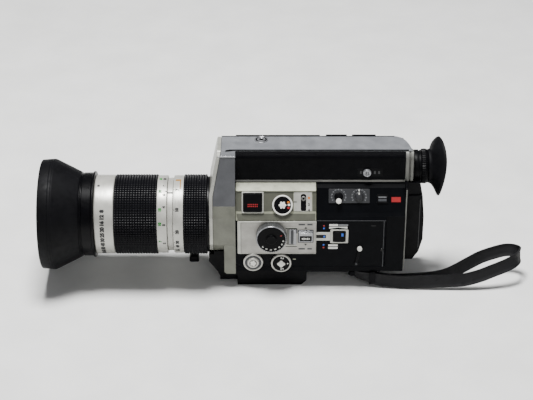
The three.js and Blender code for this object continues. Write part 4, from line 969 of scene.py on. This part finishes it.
def dissolve_pieces():
    x, z = DISSOLVE
    plate_shape = window(rectangle(x, z, 17.3, 15.0, 0.8, 3), rectangle(x, z, 12.4, 12.4, 0.6, 3), 0, 0.9, PLATEAU)
    arm = plate(rectangle(90.6, z, 14.4, 9.2, 0.4), 0, 0.9, PLATEAU)
    piece("dissolve_plate", join(plate_shape, arm), "camera_body", "front_plate", ["dissolve_frame"], soft=0.2)
    piece("dissolve_well", plate(rectangle(x, z, 12.4, 12.4, 0.6), 0.05, 0.3, PLATEAU), "camera_body", "gloss_black")
    cap = plate(rectangle(x, z, 11.2, 11.2, 2.0, 5), 1.4, 2.4, PLATEAU)
    stem = plate(rectangle(x, z, 3.2, 3.2, 0.3), -4, 1.6, PLATEAU)
    piece("dissolve_button_cap", join(cap, stem), "dissolve_button", "black_part", ["dissolve_button"], soft=0.4)
    mark = plate(rectangle(x + 2.9, z + 2.6, 2.0, 3.2, 0.4), 2.35, 2.5, PLATEAU)
    piece("dissolve_button_mark", mark, "dissolve_button", "white_plastic", finish=PRINT["blue_mark"])
    piece("arm_window", plate(rectangle(88.4, z, 9.4, 3.6, 0.4), 0.8, 1.05, PLATEAU), "camera_body", "gloss_black")
    dots = {"blue_mark": [(91.4, z, 1.0, 1.0), (91.0, 66.6, 0.9, 0.0), (91.0, 48.2, 0.9, 0.0)],
            "red_mark": [(91.0, 69.4, 0.9, 0.0), (91.0, 45.2, 0.9, 0.0)]}
    for paint, spots in dots.items():
        shapes = [plate(circle(px, pz, r, 20), lift, lift + 0.14, PLATEAU) for px, pz, r, lift in spots]
        piece("plateau_" + paint, join(*shapes), "camera_body", "white_plastic", finish=PRINT[paint])
    bars = {"white_mark": [(100.2, 70.2, 8.4, 2.0), (100.0, 47.6, 9.0, 2.0), (100.0, 44.6, 9.0, 2.0)],
            "grey_mark": [(109.4, 70.2, 9.0, 1.6)]}
    for paint, spots in bars.items():
        shapes = [plate(rectangle(px, pz, w, h, 0.2), 0, 0.12, PLATEAU) for px, pz, w, h in spots]
        piece("plateau_bar_" + paint, join(*shapes), "camera_body", "white_plastic", finish=PRINT[paint])
    wedge = [(96, 68.4), (113.4, 68.4), (113.4, 66.2), (104.7, 67.6), (96, 66.2)]
    piece("plateau_wedge_mark", plate(wedge, 0, 0.12, PLATEAU), "camera_body", "white_plastic", finish=PRINT["white_mark"])


side_panel_pieces()
dissolve_pieces()
# Painted highlights: lighter lines along the plateau's top and rear edges, where the edges catch the light.
edges = [plate(rectangle(117, 75.0, 66, 0.5, 0.1), -0.05, 0.12, PLATEAU), plate(rectangle(148.3, 49, 0.5, 51, 0.1), -0.05, 0.12, PLATEAU)]
piece("plateau_edge_highlights", join(*edges), "camera_body", "black_part", finish=PRINT["dim_mark"])
piece("main_index", plate(rectangle(63.0, 32.0, 3.0, 0.9, 0.2), 0, 0.14, PLATEAU), "camera_body", "olive_panel")


# ---------------------------------------------------------------- rear controls
def swing_lever():
    base = pivot("swing_lever_turn")
    lean = -math.degrees(math.atan2(2.8, 17.6))
    reach = math.hypot(2.8, 17.6)
    leaning = shifted(base, 0, 0, 0, lean)
    arm = join(plate(circle(0, 0, 2.4), 0.3, 1.5, leaning), plate(rectangle(0, reach / 2, 2.6, reach, 0.5), 0.3, 1.4, leaning),
               plate(rectangle(0, 0, 2.2, 2.2, 1.0, 5), -4, 0.5, leaning))
    piece("swing_lever_arm", arm, "swing_lever", "black_part", ["swing_lever"], soft=0.2)
    knob = rounded([(0.4, 0), (0.4, 2.2), (2.8, 2.4), (3.3, 1.9), (3.5, 0)], 0.3, 3, closed=False)
    piece("swing_lever_knob", turned(knob, shifted(leaning, 0, reach), 48), "swing_lever", "white_plastic")
    piece("swing_lever_rivet", turned(rounded([(1.4, 0), (1.4, 1.2), (1.9, 0.9), (2.0, 0)], 0.1, 2, closed=False), base, 32),
          "swing_lever", "instrument_grey")


def instrument_pieces():
    field = rectangle(114.9, 16.05, 39.2, 13.5, 0.8, 3)
    piece("instrument_field", plate(field, 0.3, 1.0, CONSOLE), "camera_body", "instrument_grey", ["instrument_plate"], soft=0.15)
    for name, joint in (("interval", "interval_turn"), ("timer", "timer_turn")):
        base = pivot(joint)
        white = tick_marks(base, 6.0, 1.4, 0.45, range(-30, 211, 24), 1.0)
        small = tick_marks(base, 6.4, 0.7, 0.3, range(-18, 200, 24), 1.0)
        piece(name + "_ticks", join(white, small), "camera_body", "white_plastic", finish=PRINT["grey_mark"])
        node = name + "_knob"
        skirt = rounded([(-4, 0), (-4, 1.2), (1.3, 1.2), (1.3, 4.4), (2.4, 4.2), (2.8, 3.4), (3.3, 3.2), (3.4, 0)], 0.2, 2, closed=False)
        finish = FINISH["instrument_grey" if name == "timer" else "black_part"]
        piece(node + "_skirt", turned(skirt, base, 72, ribs(0.25, 3.9, 3)), node, "black_part", [node], finish=finish)
    interval = pivot("interval_turn")
    knob = rounded([(2.4, 0), (2.4, 2.6), (4.2, 2.6), (4.7, 2.0), (4.8, 0)], 0.3, 3, closed=False)
    piece("interval_pointer", turned(knob, shifted(interval, 0, -4.4), 48), "interval_knob", "white_plastic")
    bridge = plate(rectangle(0, -2.4, 2.2, 4.6, 0.4), 1.8, 3.0, interval)
    piece("interval_pointer_arm", bridge, "interval_knob", "black_part", soft=0.15)
    pointer = plate([(-0.7, 2.0), (0.7, 2.0), (0, 4.1)], 3.2, 3.6, pivot("timer_turn"))
    piece("timer_pointer", pointer, "timer_knob", "white_plastic", finish=PRINT["white_mark"])
    piece("timer_index", plate(rectangle(124.3, 21.5, 0.9, 2.0, 0.3), 1.0, 1.15, CONSOLE), "camera_body", "white_plastic",
          finish=PRINT["white_mark"])


def rear_marks():
    piece("counter_window_frame", window(rectangle(146.6, 13.2, 10.6, 8.2, 0.8, 3), rectangle(146.6, 13.2, 8.6, 6.0, 0.6, 3), 0, 0.9, CONSOLE),
          "camera_body", "black_part", soft=0.2)
    piece("counter_window", plate(rectangle(146.6, 13.2, 8.8, 6.2, 0.6), 0, 0.5, CONSOLE), "camera_body", "black_part")
    piece("counter_window_line", plate(rectangle(146.6, 15.0, 7.8, 0.7, 0.1), 0.45, 0.6, CONSOLE), "camera_body", "instrument_grey",
          finish=PRINT["grey_mark"])
    piece("counter_window_bar", plate(rectangle(146.6, 12.2, 7.8, 2.4, 0.1), 0.45, 0.6, CONSOLE), "camera_body", "instrument_grey",
          finish=PRINT["dim_mark"])
    piece("red_label", plate(rectangle(159.6, 12.6, 8.8, 4.8, 0.3), 0, 0.2, CONSOLE), "camera_body", "white_plastic", finish=PRINT["red_mark"])
    piece("plateau_slot", plate(rectangle(138.4, 69.4, 4.4, 1.2, 0.4), 0, 0.1, PLATEAU), "camera_body", "gloss_black")
    piece("plateau_stud", turned([(0, 0), (0, 1.6), (0.5, 1.3), (0.5, 0)], shifted(PLATEAU, 147.0, 42.5), 32), "camera_body", "gloss_black")


def finder_slot():
    knob_x = (low("finder_shutter_knob").x + high("finder_shutter_knob").x) / 2
    knob_z = (low("finder_shutter_knob").z + high("finder_shutter_knob").z) / 2
    piece("finder_slot_plate", plate(rectangle(knob_x + 3, knob_z, 24, 8.4, 0.8, 4), 0.3, 0.72, UPPER), "camera_body", "black_part", soft=0.1)
    base = shifted(UPPER, knob_x, knob_z)
    profile = rounded([(-3, 0), (-3, 1.2), (0.8, 1.2), (0.8, 4.0), (2.2, 4.0), (2.9, 3.5), (2.9, 2.5), (2.2, 2.3), (2.2, 0)], 0.2, 2, closed=False)
    piece("finder_knob_ring", turned(profile, base, 96, ribs(0.2, 3.9, 2)), "finder_shutter_knob", "brushed_panel",
          ["finder_shutter_knob"], finish=TRIM)
    slits = [plate(rectangle(knob_x + dx, knob_z, 0.9, 3.0, 0.3), 2.1, 2.35, UPPER) for dx in (-0.9, 0.9)]
    piece("finder_knob_slits", join(*slits), "finder_shutter_knob", "black_part")
    bars = [plate(rectangle(knob_x + dx, knob_z, 1.8, 3.0, 0.3), 0.7, 0.76, UPPER) for dx in (-5.8, 7.4, 11.4)]
    piece("finder_slot_marks", join(*bars), "camera_body", "white_plastic", finish=FINISH["instrument_grey"])


swing_lever()
instrument_pieces()
rear_marks()
finder_slot()


# ---------------------------------------------------------------- door latch
def door_latch():
    corner, far = low("door_latch"), high("door_latch")
    x, z = (corner.x + far.x) / 2, (corner.z + far.z) / 2
    base = axes((0, corner.y, 0), (-1, 0, 0), (0, 0, 1))
    bed = plate(rectangle(-x, z, 10, 16, 2.0, 5), 0, 1.3, base)
    grips = [plate(rectangle(-x, z + dz, 6.4, 0.8, 0.3, 2), 1.2, 2.6, base) for dz in (-3, -1.5, 0, 1.5, 3)]
    piece("door_latch_slider", join(bed, *grips), "door_latch", "chrome_trim", ["door_latch"], soft=0.2)


door_latch()

# Ribs on both flanks of the folded grip.
for side in (-1, 1):
    flank = axes((0, side * 16.5, 0), (-side, 0, 0), (0, 0, 1))
    bars = [plate(rectangle(-side * (66 + 5.0 * i), 22, 1.8, 15, 0.8, 3), -0.1, 0.55, flank) for i in range(9)]
    piece("grip_ribs_" + ("left" if side < 0 else "right"), join(*bars), "grip", "soft_rubber", soft=0.2)


# ---------------------------------------------------------------- wrist strap
STRAP_WIDTH = 12.6
STRAP_THICK = 1.5
STRAP_ROOT = 24.0
# Middle of the band, from the eye on the grip out along the table, round the loop and back to the sewn joint.
STRAP_PATH = [
    (121.5, -22.6, 13.2), (126, -25.4, 12.6), (137, -27.0, 10.2), (147, -28.2, 8.2), (157, -29.2, 7.3), (168, -30.0, 6.8),
    (182, -30.6, 7.4), (196, -31.0, 8.1), (212, -31.0, 8.8), (228, -31.0, 10.0), (243, -30.0, 14.0), (255, -28.0, 18.2), (268, -24.5, 22.0), (278, -19.0, 24.6),
    (283, -11.0, 24.8), (283, -4.0, 24.8), (277.5, 0.8, 24.2), (270, 2.2, 23.4), (258, 1.0, 20.5), (246, -2.0, 17.5),
    (234, -7.0, 13.5), (221, -14.0, 10.0), (212, -18.5, 8.2), (203, -21.0, 7.2), (190, -23.0, 6.6), (174, -24.8, 6.5),
    (158, -25.8, 6.8), (146, -25.6, 8.2), (134, -24.0, 10.8), (125, -22.4, 12.8),
]


def smooth_path(points, steps):
    """Points on a Catmull-Rom curve through the given ones."""
    made = []
    padded = [points[0], *points, points[-1]]
    for i in range(1, len(padded) - 2):
        p0, p1, p2, p3 = (Vector(p) for p in padded[i - 1:i + 3])
        for k in range(steps):
            t = k / steps
            made.append(0.5 * (2 * p1 + (p2 - p0) * t + (2 * p0 - 5 * p1 + 4 * p2 - p3) * t * t + (3 * p1 - p0 - 3 * p2 + p3) * t ** 3))
    return made + [Vector(points[-1])]


def band_section():
    """Half section of the band in (across, through): a flat web with a raised sewn edge on both sides."""
    half, thin, thick = STRAP_WIDTH / 2, STRAP_THICK / 2, STRAP_THICK / 2 + 0.25
    upper = [(-half, thin * 0.4), (-half + 0.4, thick), (-half + 1.5, thick), (-half + 1.9, thin), (-2, thin), (0, thin * 1.1), (2, thin),
             (half - 1.9, thin), (half - 1.5, thick), (half - 0.4, thick), (half, thin * 0.4)]
    return upper + [(a, -b) for a, b in reversed(upper)]


def narrowed(run, root):
    """The band's share of its full width near its root."""
    return 0.5 + 0.5 * min(1.0, run / root)


def strap():
    path = smooth_path(STRAP_PATH, 10)
    section = band_section()
    outlines, lengths, run = [], [], 0.0
    for i, here in enumerate(path):
        ahead, behind = path[min(len(path) - 1, i + 1)], path[max(0, i - 1)]
        along = (ahead - behind).normalized()
        share = i / (len(path) - 1)
        lean = 0.6 * math.sin(math.pi * share)
        up = Vector((0, lean, 1))
        across_band = (up - along * up.dot(along)).normalized()
        through = along.cross(across_band)
        run += (here - behind).length if i else 0.0
        width = narrowed(run, STRAP_ROOT)
        outlines.append([here + across_band * a * width + through * b for a, b in section])
        lengths.append(run)
    made = piece("strap_band", swept(outlines), "grip", "strap_cloth", ["wrist_strap"], crease_deg=50)
    lay_out(made, outlines, lengths, section)


def lay_out(made, outlines, lengths, section):
    """A UV map of the band, in metres: along it and across it."""
    count = len(section)
    places = {}
    for ring, outline in enumerate(outlines):
        for k, point in enumerate(outline):
            places[tuple(round(c, 3) for c in point)] = (lengths[ring] * MM, section[k % count][0] * MM)
    layer = made.data.uv_layers.new(name="band")
    for loop in made.data.loops:
        key = tuple(round(c / MM, 3) for c in made.data.vertices[loop.vertex_index].co)
        layer.data[loop.index].uv = places.get(key, (0.0, 0.0))


def strap_fittings():
    """The sleeve that holds the two ends of the band together."""
    sleeve_base = axes((0, -25.9, 9.7), (0, 1, 0), (0, 0, 1))
    sleeve = window(rectangle(0, 0, 6.0, 13.6, 1.4, 4), rectangle(0, 0, 4.8, 12.4, 1.0, 4), 136, 142, sleeve_base)
    piece("strap_sleeve", sleeve, "grip", "soft_rubber", soft=0.3)


strap()
strap_fittings()


# ---------------------------------------------------------------- stage
def backdrop():
    """A pale floor that curves up into a wall behind the camera."""
    section = rounded([(-3400, 0), (5400, 0), (5400, 3000)], 1800, 16, closed=False)
    points = [(x, y, z) for y, z in section for x in (-5000, 5000)]
    faces = [(2 * i, 2 * i + 1, 2 * i + 3, 2 * i + 2) for i in range(len(section) - 1)]
    mesh = bpy.data.meshes.new("backdrop")
    mesh.from_pydata([Vector(p) * MM for p in points], [], faces)
    mesh.shade_smooth()
    shader = Shader("pale_paper")
    plain = shader.coordinates()
    tone = shader.mix(shader.spread(shader.noise(plain, 60.0, 4.0), 0.0, 1.0, 0.35, 0.65), linear(228, 228, 226), linear(236, 236, 234))
    shader.link(tone, shader.bsdf.inputs["Base Color"])
    shader.bsdf.inputs["Roughness"].default_value = 0.8
    shader.bump(shader.noise(plain, 25.0), 0.3)
    mesh.materials.append(shader.material)
    made = bpy.data.objects.new("backdrop", mesh)
    bpy.context.scene.collection.objects.link(made)


def softbox(name, place_m, target_m, width_m, height_m, watts):
    light = bpy.data.lights.new(name, "AREA")
    light.shape = "RECTANGLE"
    light.size, light.size_y, light.energy = width_m, height_m, watts
    made = bpy.data.objects.new(name, light)
    made.location = place_m
    made.rotation_euler = (Vector(target_m) - Vector(place_m)).to_track_quat("-Z", "Y").to_euler()
    bpy.context.scene.collection.objects.link(made)


def world(strength):
    made = bpy.data.worlds.new("studio")
    made.use_nodes = True
    background = made.node_tree.nodes["Background"]
    background.inputs["Color"].default_value = (0.95, 0.97, 1.0, 1.0)
    background.inputs["Strength"].default_value = strength
    bpy.context.scene.world = made


LOOK_AT_m = Vector((0.0362, 0, 0.0815))
VIEW_DISTANCE_m = 1.591
VIEW_ELEVATION = math.radians(30)
VIEW_LENS = 111.4  # focal length on a sensor 36 mm wide


def photographer():
    data = bpy.data.cameras.new("viewpoint")
    data.lens, data.sensor_width = VIEW_LENS, 36.0
    made = bpy.data.objects.new("viewpoint", data)
    back = Vector((0, -math.cos(VIEW_ELEVATION), math.sin(VIEW_ELEVATION)))
    made.location = LOOK_AT_m + back * VIEW_DISTANCE_m
    made.rotation_euler = (-back).to_track_quat("-Z", "Y").to_euler()
    bpy.context.scene.collection.objects.link(made)
    bpy.context.scene.camera = made


backdrop()
world(0.16)
softbox("key_light", (-0.1, 0.05, 1.7), (0.0, 0.03, 0.0), 0.55, 0.5, 70)
softbox("front_light", (0.3, -2.0, 1.3), (0.03, 0.0, 0.07), 1.2, 0.8, 7)
photographer()
